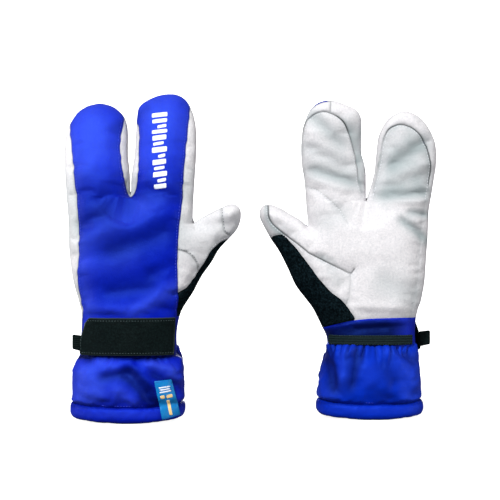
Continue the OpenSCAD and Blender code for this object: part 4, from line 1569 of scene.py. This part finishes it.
def gathers(glove, x, z):
    """each pleat's depth, the distance from its swaying line, and its strength on the palm"""
    for place_x, depth in GATHERS[glove]:
        sway = (1.8 * np.sin(z * 0.11 + place_x)
                + (z - 68) * 0.05 * math.sin(place_x * 1.7))
        low = 40 + 12 * math.sin(place_x * 2.3) ** 2
        yield depth, x - place_x - sway, smooth((z - low) / (70 - low))


def cuff_detail(glove, points):
    """outward displacement of the cuff cloth"""
    x, y, z = points.T
    flat = points[:, [0, 2]]
    back = smooth((3 - y) / 6)
    palm = 1 - back
    out = np.zeros(len(points))
    for side, part in (("back", back), ("palm", palm)):
        for row in CUFF_FOLDS[side]:
            out += fold(flat, *row, fade=0.3) * part
    pleat = np.zeros(len(points))
    for depth, off, strength in gathers(glove, x, z):
        dent = bell(off / (1.25 + 1.5 * smooth((68 - z) / 22)))
        pleat += -depth * dent * palm * strength
        pleat += -0.4 * depth * dent * back * smooth((z - 50) / 14)
    out += lumps(points, 0.045, CUFF_SEED[glove]) * 2.2 + lumps(points, 0.12, 11.3) * 0.7
    out = out * smooth((z - 12) / 10) * smooth((80 - z) / 12) + pleat * smooth((z - 12) / 10)
    out += -2.3 * bell((z - 12.5) / 3.4)                    # drawn in above the hem
    out += palm * (-1.2 * smooth((z - 66.5) / 3) + 1.3 * bell((z - 61) / 5.5))
    out += back * (-1.6 * smooth((z - 57) / 6))             # drawn in under the strap
    return out


def cuff_painted_light(glove, points):
    """painted shade and highlight on the cuff's cloth: dark in its valleys, pale on its ridges
    """
    x, y, z = points.T
    flat = points[:, [0, 2]]
    back = smooth((3 - y) / 6)
    palm = 1 - back
    dark, pale = np.zeros(len(points)), np.zeros(len(points))
    for side, part in (("back", back), ("palm", palm)):
        for start, end, rise, width in CUFF_FOLDS[side]:
            tone = fold(flat, start, end, abs(rise), width * 1.3, 0.3) * part
            if rise < 0:
                dark += tone / 2.3
            else:
                pale += tone / 2.6
    for depth, off, strength in gathers(glove, x, z):
        dark += (depth / 3.2 * bell(off / (1.3 + 1.2 * smooth((68 - z) / 22)))
                 * palm * strength)
    # painted shade above the hem, under the strap and at the top of the palm side
    dark += 0.9 * bell((z - 12.6) / 2.2) + 0.7 * back * smooth((z - 55) / 5)
    dark += palm * smooth((z - 75) / 2)
    # painted highlight toward the outer side of the back, in the middle of the palm side and
    # low at the sides
    pale += 0.35 * smooth((-x + 10) / 40) * back
    pale += 0.3 * palm * np.exp(-((x + 8) / 24) ** 2 - ((z - 40) / 16) ** 2)
    low = smooth((46 - z) / 20)
    pale += back * 0.35 * smooth((-24 - x) / 12) * low
    pale += palm * (0.9 * smooth((-20 - x) / 10) * smooth((66 - z) / 8)
                    + 0.7 * smooth((x - 32) / 8) * low)
    return np.clip(dark * 1.1, 0, 1), np.clip(pale, 0, 1)


def sag(x, z):
    """the hem hangs a touch lower in the middle than at its sides"""
    return 3.4 * (x / 48.0) ** 2 * smooth((46 - z) / 30)


def settle_cuff(grid):
    """the cuff's cloth is longer than its place, so it settles into folds"""
    around, rows = grid.shape[:2]
    columns = np.arange(0, around, 2)
    levels = np.linspace(0, rows - 1, 30).round().astype(int)
    coarse = grid[columns][:, levels]
    shape = coarse.shape
    coarse = coarse.reshape(-1, 3)
    faces = []
    for i in range(shape[0]):
        for j in range(shape[1] - 1):
            a, b = i * shape[1] + j, ((i + 1) % shape[0]) * shape[1] + j
            faces.append((a, b, b + 1, a + 1))
    _, y, z = coarse.T
    pin = np.where((z < 16.5) | (z > 67.5), 1.0, 0.03)
    pin = np.maximum(pin, np.where((z > 60) & (y < 0), 0.9, 0.0))
    move = settle(coarse, faces, pin, frames=24, pressure=2.0, grow=0.085, bend=0.12, cap=4.6)
    # back to the fine grid
    move = np.apply_along_axis(
        lambda row: np.interp(np.arange(rows), levels, row), 1, move.reshape(shape))
    move = np.apply_along_axis(
        lambda ring: np.interp(np.arange(around), np.r_[columns, around],
                               np.r_[ring, ring[0]]), 0, move)
    for _ in range(2):          # soften the coarse grid's corners
        move = 0.5 * move + 0.25 * (np.roll(move, 1, 0) + np.roll(move, -1, 0))
        move[:, 1:-1] = 0.5 * move[:, 1:-1] + 0.25 * (move[:, :-2] + move[:, 2:])
    return grid + move


def hold_width(glove, grid, z):
    """squeeze the cloth so that it keeps the cuff's width at each height"""
    window = np.hanning(15)
    window /= window.sum()

    def soften(row):
        return np.convolve(np.pad(row, 7, mode="edge"), window, "valid")

    x = grid[:, :, 0]
    away, thumb, _, _ = cuff_shape(glove, z)
    scale_away = np.minimum(1, (away + 0.4) / soften(-x.min(0)))
    scale_thumb = np.minimum(1, (thumb + 0.4) / soften(x.max(0)))
    t = smooth((x + 12) / 24)
    grid[:, :, 0] *= scale_away[None] * (1 - t) + scale_thumb[None] * t


def build_cuff(glove):
    """the cuff's two panels and its lining; returns the cuff's points"""
    around, rows = CUFF_AROUND, CUFF_ROWS
    angle, section = cuff_grid(glove, around, CUFF_Z, rows)
    outward = cuff_outward(glove, angle, section[:, 2])
    points = section + outward * cuff_detail(glove, section)[:, None]
    grid = settle_cuff(points.reshape(around, rows, 3))
    hold_width(glove, grid, section[:rows, 2])
    points = grid.reshape(-1, 3)
    faces = []
    for i in range(around):
        for j in range(rows - 1):
            a, b = i * rows + j, ((i + 1) % around) * rows + j
            faces += [(a, b, b + 1), (a, b + 1, a + 1)]
    faces = np.array(faces)
    back = np.repeat(np.sin(angle[::rows] + math.pi / around) < 0, 2 * (rows - 1))
    points[:, 2] += sag(points[:, 0], points[:, 2])
    normals = vertex_normals(points, faces)
    # painted shade and painted highlight for the cuff's cloth
    crease, lift = cuff_painted_light(glove, section)
    shades = {"crease": crease, "seam": bell(section[:, 1] / 0.8), "lift": lift,
              "cool": np.full(len(section), CUFF_COOL[glove])}
    for side, chosen in (("back", back), ("palm", ~back)):
        obj = shell("cuff_" + side, points, normals, faces[chosen],
                    MATERIALS["blue_softshell"], CUFF_THICK, shades)
        place(obj, glove, "cuff", f"cuff_{side}_panel", "blue_softshell")
    # lining seen from below
    _, lining = cuff_grid(glove, 96, (2.5, 66), 22, out=-6.5)
    lining[:, 0] += lumps(lining, 0.08, 2.2) * 0.8
    lining[:, 1] += lumps(lining, 0.08, 8.2) * 0.8
    obj = ring_mesh("lining_cuff", lining.reshape(96, 22, 3), MATERIALS["fleece_lining"])
    turn_outward(obj.data, wall=2.0)
    place(obj, glove, "cuff", "cuff_liner", "fleece_lining")
    return points


# ------------------------------------------------------------------ hem roll
HEM_SECTION_Z = 12.0            # the roll follows the cuff's section at this height
HEM_OUT = 1.6                   # how far the roll stands outside the section
HEM_HALF_WIDTH, HEM_HALF_HEIGHT = 4.4, 6.9
HEM_POWER = 2.4
HEM_AROUND, HEM_SIDES = 320, 36
HEM_SEED = {"a": 31.0, "b": 71.0}
HEM_STITCH_Z, HEM_STITCH_PITCH = 15.8, 2.7


def hem_points(glove, angle, turn):
    """points and normals of the roll: angle round the cuff, turn round the roll"""
    z = np.full_like(angle, HEM_SECTION_Z)
    out = HEM_OUT - HEM_HALF_WIDTH
    x, y = cuff_point(glove, angle, z, out)
    next_x, next_y = cuff_point(glove, angle + 1e-3, z, out)
    tangent = unit(np.c_[next_x - x, next_y - y])
    c, s = np.cos(turn), np.sin(turn)
    wide = np.sign(c) * np.abs(c) ** (2 / HEM_POWER) * HEM_HALF_WIDTH
    high = np.sign(s) * np.abs(s) ** (2 / HEM_POWER) * HEM_HALF_HEIGHT
    normal_x, normal_y = tangent[:, 1], -tangent[:, 0]
    return (np.c_[x + normal_x * wide, y + normal_y * wide, HEM_HALF_HEIGHT + high],
            np.c_[normal_x * c, normal_y * c, s])


def build_hem(glove):
    angle, turn = np.meshgrid(np.linspace(0, 2 * math.pi, HEM_AROUND, endpoint=False),
                              np.linspace(0, 2 * math.pi, HEM_SIDES, endpoint=False),
                              indexing="ij")
    angle = angle.ravel()
    points, normals = hem_points(glove, angle, turn.ravel())
    uneven = lumps(points, 0.06, HEM_SEED[glove]) * 0.9 + lumps(points, 0.22, 7.0) * 0.3
    # small gathers where the roll is sewn to the cuff
    uneven += (smooth((points[:, 2] - 8) / 5) * 0.1
               * np.sin(angle * 46 + 2 * np.sin(angle * 5)))
    points = points + normals * uneven[:, None]
    points[:, 2] = np.maximum(points[:, 2], 0.02)
    points[:, 2] += sag(points[:, 0], points[:, 2])
    obj = ring_mesh("hem_roll", points.reshape(HEM_AROUND, HEM_SIDES, 3),
                    MATERIALS["blue_hem"], closed=True)
    turn_outward(obj.data)
    z = points[:, 2]
    # painted shade low on the roll and at its top where it meets the cuff; painted highlight
    # just above its middle
    crease = smooth((5 - z) / 5) * 0.6 + smooth((z - 12.2) / 1.6) * 0.5
    set_attribute(obj.data, "crease", np.clip(crease, 0, 1))
    set_attribute(obj.data, "lift", 0.3 * bell((z - 8.5) / 3.4))
    set_attribute(obj.data, "cool", np.full(len(z), HEM_COOL[glove]))
    place(obj, glove, "cuff", "cuff_hem_roll", "blue_hem")
    rows = []
    for side in (-1, 1):
        angle = np.linspace(0.04, math.pi - 0.04, 240) * side
        z = np.full_like(angle, HEM_STITCH_Z)
        section = np.c_[(*cuff_point(glove, angle, z), z)]
        normals = cuff_outward(glove, angle, z)
        line = section + normals * (cuff_detail(glove, section) + 0.15)[:, None]
        line[:, 2] += sag(line[:, 0], line[:, 2])
        rows += thread_rows(line, normals, HEM_STITCH_PITCH, start=0.15, end=0.8, middle=0.5)
    place(stitches("hem_stitches", rows, THREAD["blue"], radius=0.22), glove, "cuff")


# ------------------------------------------------------------------ strap, elastic, tag
STRAP_Z0, STRAP_Z1 = 61.0, 95.0
STRAP_MID_Z = (STRAP_Z0 + STRAP_Z1) / 2
FASTENER_Z = (65, 91)
# x of the strap's ends and of where it leaves the cuff; the pull tab's ends and its blend
STRAP = {
    "a": dict(end=-41.8, root=44.6, free=-37.0, tab=(-48.6, -40.2), tab_blend=(-41.9, -47.8)),
    "b": dict(end=-49.6, root=38.6, free=-33.0, tab=(-58.6, -48.2), tab_blend=(-49.4, -57.6)),
}


def build_fasteners(glove):
    """the loop field sewn to the cuff and the hook patch on the strap's inner face"""
    low, high = FASTENER_Z
    material = MATERIALS["loop_fastener"]
    surface, arc_at = wrap(glove, STRAP_MID_Z, side=-1, out=1.1)
    obj = pad("strap_loop", rectangle(arc_at(-38), arc_at(24), low, high, 3), surface,
              half=0.5, edge=0.6, step=1.6, material=material,
              relief=lambda flat: 0.12 * np.abs(np.sin(flat[:, 0] * 2.1)
                                                * np.sin(flat[:, 1] * 2.3)))
    place(obj, glove, "cuff", "strap_loop_patch", "loop_fastener")
    surface, arc_at = wrap(glove, STRAP_MID_Z, side=-1, out=2.25)
    left, right = arc_at(-36), arc_at(4)
    corners = [(left, low), (right, low), (right, high), (left + 6, high)]
    obj = pad("strap_hook", rounded(corners, 3), surface, half=0.5, edge=0.6, step=1.4,
              material=material)
    place(obj, glove, "strap", "strap_hook_patch", "loop_fastener")


def strap_wave(arc, z):
    wave = 0.45 * np.sin(arc * 0.16 + 1.0) * np.sin(z * 0.12)
    wave += 0.5 * bell((z - 93) / 3.5) * np.sin(arc * 0.21)
    # the free end stands a little proud
    return wave + 0.8 * smooth((-arc - 30) / 14) * smooth((z - 60) / 30)


def build_strap(glove):
    build_fasteners(glove)
    size = STRAP[glove]
    low, high = STRAP_Z0, STRAP_Z1
    surface, arc_at = wrap(glove, STRAP_MID_Z, side=-1, out=4.0, wave=strap_wave,
                           free=size["free"])
    end, root = arc_at(size["end"]), arc_at(size["root"])
    face = rounded([(root - 2.6, low), (root + 0.4, high), (end + 10.6, high),
                    (end + 7.5, high - 2.6), (end, low + 12), (end, low)],
                   [0.8, 0.8, 5, 5, 5, 3.2], 6)
    top, bottom = high - 2.7, low + 2.3         # stitch lines, joined round the free end
    seams = [np.c_[np.linspace(end + 9, root - 1, 90), np.full(90, top)],
             np.c_[np.linspace(end + 3, root - 1, 90), np.full(90, bottom)],
             catmull([(end + 9, top), (end + 6.6, high - 6), (end + 2.2, low + 13),
                      (end + 2.2, low + 4), (end + 3, bottom)], 8)]

    def relief(flat):
        lift = np.zeros(len(flat))
        for line in seams:
            lift -= 0.28 * bell(seg_dist(flat, line) / 0.55)
        return lift + 0.12 * np.sin(flat[:, 1] * 2.2) * np.sin(flat[:, 0] * 0.7) * 0.3

    webbing = MATERIALS["black_webbing"]
    obj = pad("strap", face, surface, half=1.1, edge=0.8, step=1.05, material=webbing,
              relief=relief)
    # paler along its edge
    x, _, z = read_points(obj.data).T
    gap = seg_dist(np.c_[arc_at(np.clip(x, -44, 46)), z], face, True)
    set_attribute(obj.data, "seam", bell(gap / 0.4) * 0.28)
    place(obj, glove, "strap", "strap_band", "black_webbing")
    rows = []
    for line in seams:
        rows += stitch_row(raised(surface, 1.02), line, pitch=2.6, fill=0.6, lift=-0.12)
    place(stitches("strap_stitches", rows, THREAD["strap"], radius=0.2), glove, "strap")

    # webbing tab at the free end
    x0, x1 = size["tab"]
    tab_y = surface(np.array([[end + 1.0, 72.0]]))[0][0][1] + 0.4

    def tab_surface(flat):
        y = tab_y - 0.5 * np.sin((x1 - flat[:, 0]) / (x1 - x0) * 3.0)
        return np.c_[flat[:, 0], y, flat[:, 1]], np.tile([0.0, -1.0, 0.0], (len(flat), 1))

    obj = pad("pull_tab", rounded([(x0, 66.4), (x1, 64.2), (x1, 78.6), (x0, 79.8)],
                                  [1.6, 0.4, 0.4, 1.6]), tab_surface,
              half=1.15, edge=0.9, step=0.62, material=webbing,
              relief=lambda flat: 0.34 * np.sin(flat[:, 1] * 3.3))
    start, stop = size["tab_blend"]
    place(obj, glove, ("strap", "pull_tab", (start, 0, 72), (stop, 0, 72)),
          "strap_pull_tab", "black_webbing")


ELASTIC_X = {"a": (-38.5, 41.9), "b": (-37.6, 39.2)}
ELASTIC_Z0, ELASTIC_RIB = 68.4, 2.3


def build_elastic(glove):
    def wave(arc, z):
        return (0.22 * np.sin(arc * 0.62 + 1.2 * np.sin(arc * 0.13))
                + 0.12 * np.sin(arc * 1.31))

    surface, arc_at = wrap(glove, 73.0, side=1, out=1.0, wave=wave)
    left, right = arc_at(ELASTIC_X[glove])
    corners = [(left, ELASTIC_Z0), (right, 68.6), (right, 77.4), (left, 77.6)]
    obj = pad("elastic", rounded(corners, 0.8, 4), surface, half=0.8, edge=0.7, step=0.75,
              material=MATERIALS["wrist_elastic"],
              relief=lambda flat: 0.3 * np.abs(
                  np.sin((flat[:, 1] - ELASTIC_Z0) * math.pi / ELASTIC_RIB)) - 0.12)
    place(obj, glove, "cuff", "wrist_elastic", "wrist_elastic")
    rows = []
    for z in (77.0, 69.2):
        line = np.c_[np.linspace(left + 1, right - 1, 80), np.full(80, z)]
        rows += stitch_row(raised(surface, 0.85), line, pitch=2.4, fill=0.7)
    place(stitches("elastic_stitches", rows, THREAD["dark"], radius=0.17), glove, "cuff")


TAG_WIDTH, TAG_HEIGHT = 15.6, 37.0
# the tag's corners (x, z): lower two, then upper two, going round
TAG_CORNERS = np.array([[33.6, 1.8], [49.4, 3.6], [41.8, 39.4], [26.6, 38.6]])
# yarn bars on the tag: left, right, bottom, top, material
TAG_BARS = ([(6.9, 9.4, 2.4, 17.0, TAG_INK)]
            + [(2.6 + 0.5 * (i % 2), 13.2 - 0.9 * (i % 3 == 1), 29.6 - 2.3 * i,
                31.0 - 2.3 * i, INK) for i in range(3)]
            + [(2.4, 6.2, 19.3, 22.6, TAG_INK), (7.6, 13.0, 18.9, 22.2, TAG_INK)])


def build_tag(glove, cuff):
    """the woven tag: sewn in at the cuff and hanging over the hem"""
    x, y, z = cuff.T
    back = cuff[(y < -5) & (x > 18) & (x < 56) & (z < 50)]
    tree = KDTree(len(back))
    for i, point in enumerate(back):
        tree.insert((point[0], 0, point[2]), i)
    tree.balance()

    def cloth_y(x, z):
        """y of the foremost cuff cloth near each point"""
        front = np.empty(len(x))
        for i, (a, b) in enumerate(zip(x, z)):
            near = tree.find_range((a, 0, b), 2.6) or tree.find_n((a, 0, b), 4)
            front[i] = min(back[hit[1], 1] for hit in near)
        return front

    def outer(x, z):
        """y of the cloth, or of the hem roll where the tag hangs over it"""
        y = cloth_y(x, np.maximum(z, 12.0)) - 0.2
        _, thumb, depth, power = cuff_shape(glove, np.full_like(x, HEM_SECTION_Z))
        across = np.clip(np.abs(x) / (thumb + 2.4), 0, 0.999)
        hem = -(depth + 2.2) * (1 - across ** power) ** (1 / power)
        bulge = np.clip(1 - ((z - 7) / 7.0) ** 2, 0, 1) ** (1 / HEM_POWER)
        hem_y = hem + 4.1 * (1 - bulge) - 1.0
        return np.where(z < 14.5, np.minimum(hem_y, y + 1.4), y)

    def surface(flat):
        u, v = flat[:, 0] / TAG_WIDTH, flat[:, 1] / TAG_HEIGHT
        x, z = ((1 - v) * (a * (1 - u) + b * u) + v * (d * (1 - u) + c * u)
                for a, b, c, d in TAG_CORNERS.T)
        # smooth the fall of the ribbon over the roll
        y = np.mean([outer(x, z + shift) for shift in (-2.4, -1.2, 0, 1.2, 2.4)], axis=0)
        y = np.minimum(y, outer(x, z)) - 0.9 - 0.9 * bell((z - 17) / 6)
        return np.c_[x, y, z + sag(x, z)], np.tile([0.28, -0.96, 0.0], (len(flat), 1))

    obj = pad("tag", rectangle(0, TAG_WIDTH, 0, TAG_HEIGHT, 0.7, 3), surface, half=0.42,
              edge=0.5, step=0.9, material=MATERIALS["tag_ribbon"],
              relief=lambda flat: 0.08 * np.sin(flat[:, 0] * 4.0))
    place(obj, glove, "tag", "hem_tag", "tag_ribbon")
    face = raised(surface, 0.47)
    for i, (*sides, ink) in enumerate(TAG_BARS):
        obj = pad(f"tag_bar_{i}", rectangle(*sides, 0.5, 3), face, half=0.14, edge=0.25,
                  step=0.8, material=ink, relief=lambda flat: 0.03 * np.sin(flat[:, 1] * 5))
        place(obj, glove, "tag")
    rows = []
    for z in (1.2, 35.9):
        rows += stitch_row(face, [(1.0, z), (14.6, z)], pitch=2.2, fill=0.7)
    place(stitches("tag_stitches", rows, THREAD["blue"], radius=0.17), glove, "tag")


# ------------------------------------------------------------------ stitching on the body
def stretches(line, keep):
    """the parts of a line, over three points long, where keep holds"""
    breaks = np.flatnonzero(np.diff(keep)) + 1
    return [part for part, kept in zip(np.split(line, breaks), np.split(keep, breaks))
            if kept[0] and len(part) > 3]


def seam_stretches(glove, side, name, offset, margin):
    """a line beside a seam, where it is more than margin inside the silhouette"""
    line = resample(curve(glove, side, name), 0.6)
    line = line + left_normals(line) * offset
    keep = inside(line, OUTLINE[glove]) & (seg_dist(line, OUTLINE[glove]) > margin)
    return stretches(line, keep)


def build_body_stitches(glove):
    lobe_z = LOBE_Z[glove]
    surfaces = {side: body_surface(glove, side) for side in ("back", "palm")}
    groups = {}

    def sew(thread, part, side, runs, pitch, fill, lift, low=0, high=999, left=-99,
            right=199):
        for run in runs:
            x, z = run.T
            for line in stretches(run, (z > low) & (z < high) & (x > left) & (x < right)):
                groups.setdefault((thread, part), []).extend(
                    stitch_row(surfaces[side], line, pitch, fill, lift))

    # dark thread round the thumb's tip and root
    runs = seam_stretches(glove, "back", "tip", offset=1.1, margin=1.2)
    # only the part of the tip seam that lies on the cloth
    tip = resample(curve(glove, "back", "tip", None, 6), 0.6)
    tip = tip + left_normals(tip) * 1.1
    runs = stretches(tip, inside(tip, OUTLINE[glove]) & (seg_dist(tip, OUTLINE[glove]) > 1.2))
    sew("dark", "thumb", "back", runs, pitch=3.0, fill=0.62, lift=0.15)
    runs = seam_stretches(glove, "back", "thumb_root", offset=1.0, margin=1.5)
    tune = dict(pitch=2.6, fill=0.6, lift=0.12)
    sew("dark", "thumb", "back", runs, **tune, left=57)
    sew("dark", "hand", "back", runs, **tune, right=57)
    # white thread along the palm's arc and thumb seam
    runs = seam_stretches(glove, "palm", "arc", offset=0, margin=1.5)
    tune = dict(pitch=2.6, fill=0.62, lift=0.05)
    sew("white", "hand", "palm", runs, **tune, high=lobe_z)
    sew("white", "index", "palm", runs, **tune, low=lobe_z)
    runs = seam_stretches(glove, "palm", "thumb", offset=1.4, margin=1.5)
    tune = dict(pitch=2.6, fill=0.62, lift=0.06)
    sew("white", "hand", "palm", runs, **tune, right=THUMB_X)
    sew("white", "thumb", "palm", runs, **tune, left=THUMB_X)
    # tone on tone stitches just inside the panels
    tune = dict(pitch=2.8, fill=0.64, lift=0.04)
    blue = curve(glove, "back", "blue")
    runs = [run for run in seam_stretches(glove, "back", "blue", offset=-1.7, margin=2.2)
            if inside(run, blue).mean() > 0.5]
    runs = runs or seam_stretches(glove, "back", "blue", offset=1.7, margin=2.2)
    sew("blue", "hand", "back", runs, **tune, low=98, high=lobe_z)
    sew("blue", "index", "back", runs, **tune, low=lobe_z, left=3)
    sew("blue", "outer", "back", runs, **tune, low=lobe_z, right=3)
    for name in ("index", "outer"):
        panel = curve(glove, "palm", name)
        chosen = []
        for offset in (1.6, -1.6):
            runs = seam_stretches(glove, "palm", name, offset, margin=2.2)
            if runs and np.mean([inside(run, panel).mean() for run in runs]) > 0.5:
                chosen = runs
        sew("white", name, "palm", chosen, **tune, low=lobe_z)
    runs = seam_stretches(glove, "back", "fleece", offset=-1.3, margin=1.4)
    sew("white", "thumb", "back", runs, pitch=2.7, fill=0.62, lift=0.06, low=120, high=170,
        left=60, right=93)
    for (thread, part), rows in groups.items():
        obj = stitches(f"stitch_{thread}_{part}", rows, THREAD[thread], radius=0.24)
        place(obj, glove, ride_for(glove, part))


# (width, height, shift in x) of the printed bars, from the lowest up
PRINT_BARS = [(11, 4.2, 0.8), (7.6, 3, 4.2), (12.4, 4.4, 0.4), (9.2, 2.8, 1.4), (12, 4.6, 0),
              (6.4, 3, 5), (13.6, 4.8, -0.6), (9.8, 2.8, 0.4), (12.6, 4.4, 0),
              (13.8, 3.4, -0.4), (8, 2.8, 4.6), (13.2, 3.6, 0), (13.8, 4, -0.4)]
PRINT_X, PRINT_Z, PRINT_GAP = 24.6, 211.0, 1.75
PRINT_LEAN, PRINT_SLANT = 0.02, 1.5     # drift in x per mm up; rise along each bar


def build_print(glove):
    """slanted pale bars on the index lobe's back, joined into one object"""
    surface = raised(body_surface(glove, "back"), 0.16)
    z = PRINT_Z
    joined = bmesh.new()
    for i, (width, tall, shift) in enumerate(PRINT_BARS):
        x = PRINT_X + shift - PRINT_LEAN * (z - PRINT_Z)
        corners = [(x, z), (x + width, z + PRINT_SLANT),
                   (x + width, z + PRINT_SLANT + tall), (x, z + tall)]
        bar = pad(f"print_{i}", rounded(on_glove(glove, "back", corners), 0.5, 3), surface,
                  half=0.14, edge=0.3, step=1.0, material=INK)
        joined.from_mesh(bar.data)
        bpy.data.objects.remove(bar)
        z += tall + PRINT_GAP
    me = bpy.data.meshes.new("print_bars")
    joined.to_mesh(me)
    joined.free()
    me.materials.append(INK)
    place(link("print_bars", me), glove, ride_for(glove, "index"))


for glove in "ab":
    build_body(glove)
    build_linings(glove)
    cuff_points = build_cuff(glove)
    build_hem(glove)
    build_elastic(glove)
    build_strap(glove)
    build_tag(glove, cuff_points)
    build_body_stitches(glove)
    build_print(glove)


# ------------------------------------------------------------------ floor, light, camera (m)
def floor_material():
    """bright to the camera, but dim to the gloves' own bounced light"""
    m = Shader("pale_floor")
    m.surface["Roughness"].default_value = 0.9
    m.surface["Specular IOR Level"].default_value = 0.0
    camera_ray = m.node("ShaderNodeLightPath").outputs["Is Camera Ray"]
    color = m.mix(camera_ray, (0.14, 0.14, 0.145, 1), (0.97, 0.97, 0.97, 1))
    m.feed(m.surface["Base Color"], color)
    m.surface["Emission Color"].default_value = (1, 1, 1, 1)
    m.feed(m.surface["Emission Strength"], m.times(camera_ray, 0.92))
    return m.material


def build_floor():
    """a floor that sweeps up into a wall behind the gloves"""
    bend_y, bend_radius, half_width, drop = 0.9, 0.7, 3.0, 0.0006
    profile = [(-2.5, 0.0), (bend_y, 0.0)]
    profile += [(bend_y + bend_radius * math.sin(a), bend_radius - bend_radius * math.cos(a))
                for a in np.linspace(0.1, math.pi / 2, 12)]
    profile.append((1.6, 3.0))
    verts = [(x, y, z - drop) for y, z in profile for x in (-half_width, half_width)]
    faces = [(2 * i, 2 * i + 1, 2 * i + 3, 2 * i + 2) for i in range(len(profile) - 1)]
    mesh_object("studio_floor", verts, faces, floor_material())


def set_world():
    """white to the camera, dim as a light"""
    world_data = SCENE.world or bpy.data.worlds.new("world")
    SCENE.world = world_data
    world_data.use_nodes = True
    nodes, links = world_data.node_tree.nodes, world_data.node_tree.links
    background = nodes.get("Background")
    background.inputs["Color"].default_value = (1, 1, 1, 1)
    strength = nodes.new("ShaderNodeMath")
    strength.operation = "MULTIPLY_ADD"
    path = nodes.new("ShaderNodeLightPath")
    links.new(path.outputs["Is Camera Ray"], strength.inputs[0])
    camera_extra, ambient = 0.88, 0.14
    strength.inputs[1].default_value = camera_extra
    strength.inputs[2].default_value = ambient
    links.new(strength.outputs[0], background.inputs["Strength"])


def area_light(name, location, target, size, power):
    light = bpy.data.lights.new(name, "AREA")
    light.shape, light.size, light.energy = "DISK", size, power
    obj = bpy.data.objects.new(name, light)
    obj.location = location
    aim = Vector(target) - Vector(location)
    obj.rotation_euler = aim.to_track_quat("-Z", "Y").to_euler()
    obj.visible_camera = False
    SCENE.collection.objects.link(obj)


def add_camera():
    camera = bpy.data.cameras.new("camera")
    distance, view_width = 1200, 465    # mm, to the gloves and across the view there
    camera.sensor_width, camera.lens = 36, 36 * distance / view_width
    obj = bpy.data.objects.new("camera", camera)
    obj.location = (-0.0027, -distance / 1000, 0.156)
    obj.rotation_euler = (math.pi / 2, 0, 0)
    SCENE.collection.objects.link(obj)
    SCENE.camera = obj


build_floor()
set_world()
MIDDLE = (0, 0, 0.16)           # half way up the gloves
area_light("key", (-0.5, -1.2, 1.2), MIDDLE, size=0.24, power=33)
area_light("front", (-0.5, -1.5, 0.5), MIDDLE, size=0.7, power=4)
area_light("left", (-1.4, -0.25, 0.35), (-0.1, 0, 0.18), size=0.5, power=6.5)
area_light("right", (1.4, -0.6, 0.25), (0.1, 0, 0.18), size=0.5, power=9)
area_light("back_wash", (0, 0.8, 1.7), (0, 2.0, 1.3), size=1.2, power=20)
area_light("rear_key", (0, 0.88, 0.26), MIDDLE, size=0.2, power=2.6)
add_camera()
SCENE.view_settings.view_transform = "Standard"
SCENE.view_settings.look = "None"

bpy.context.view_layer.update()
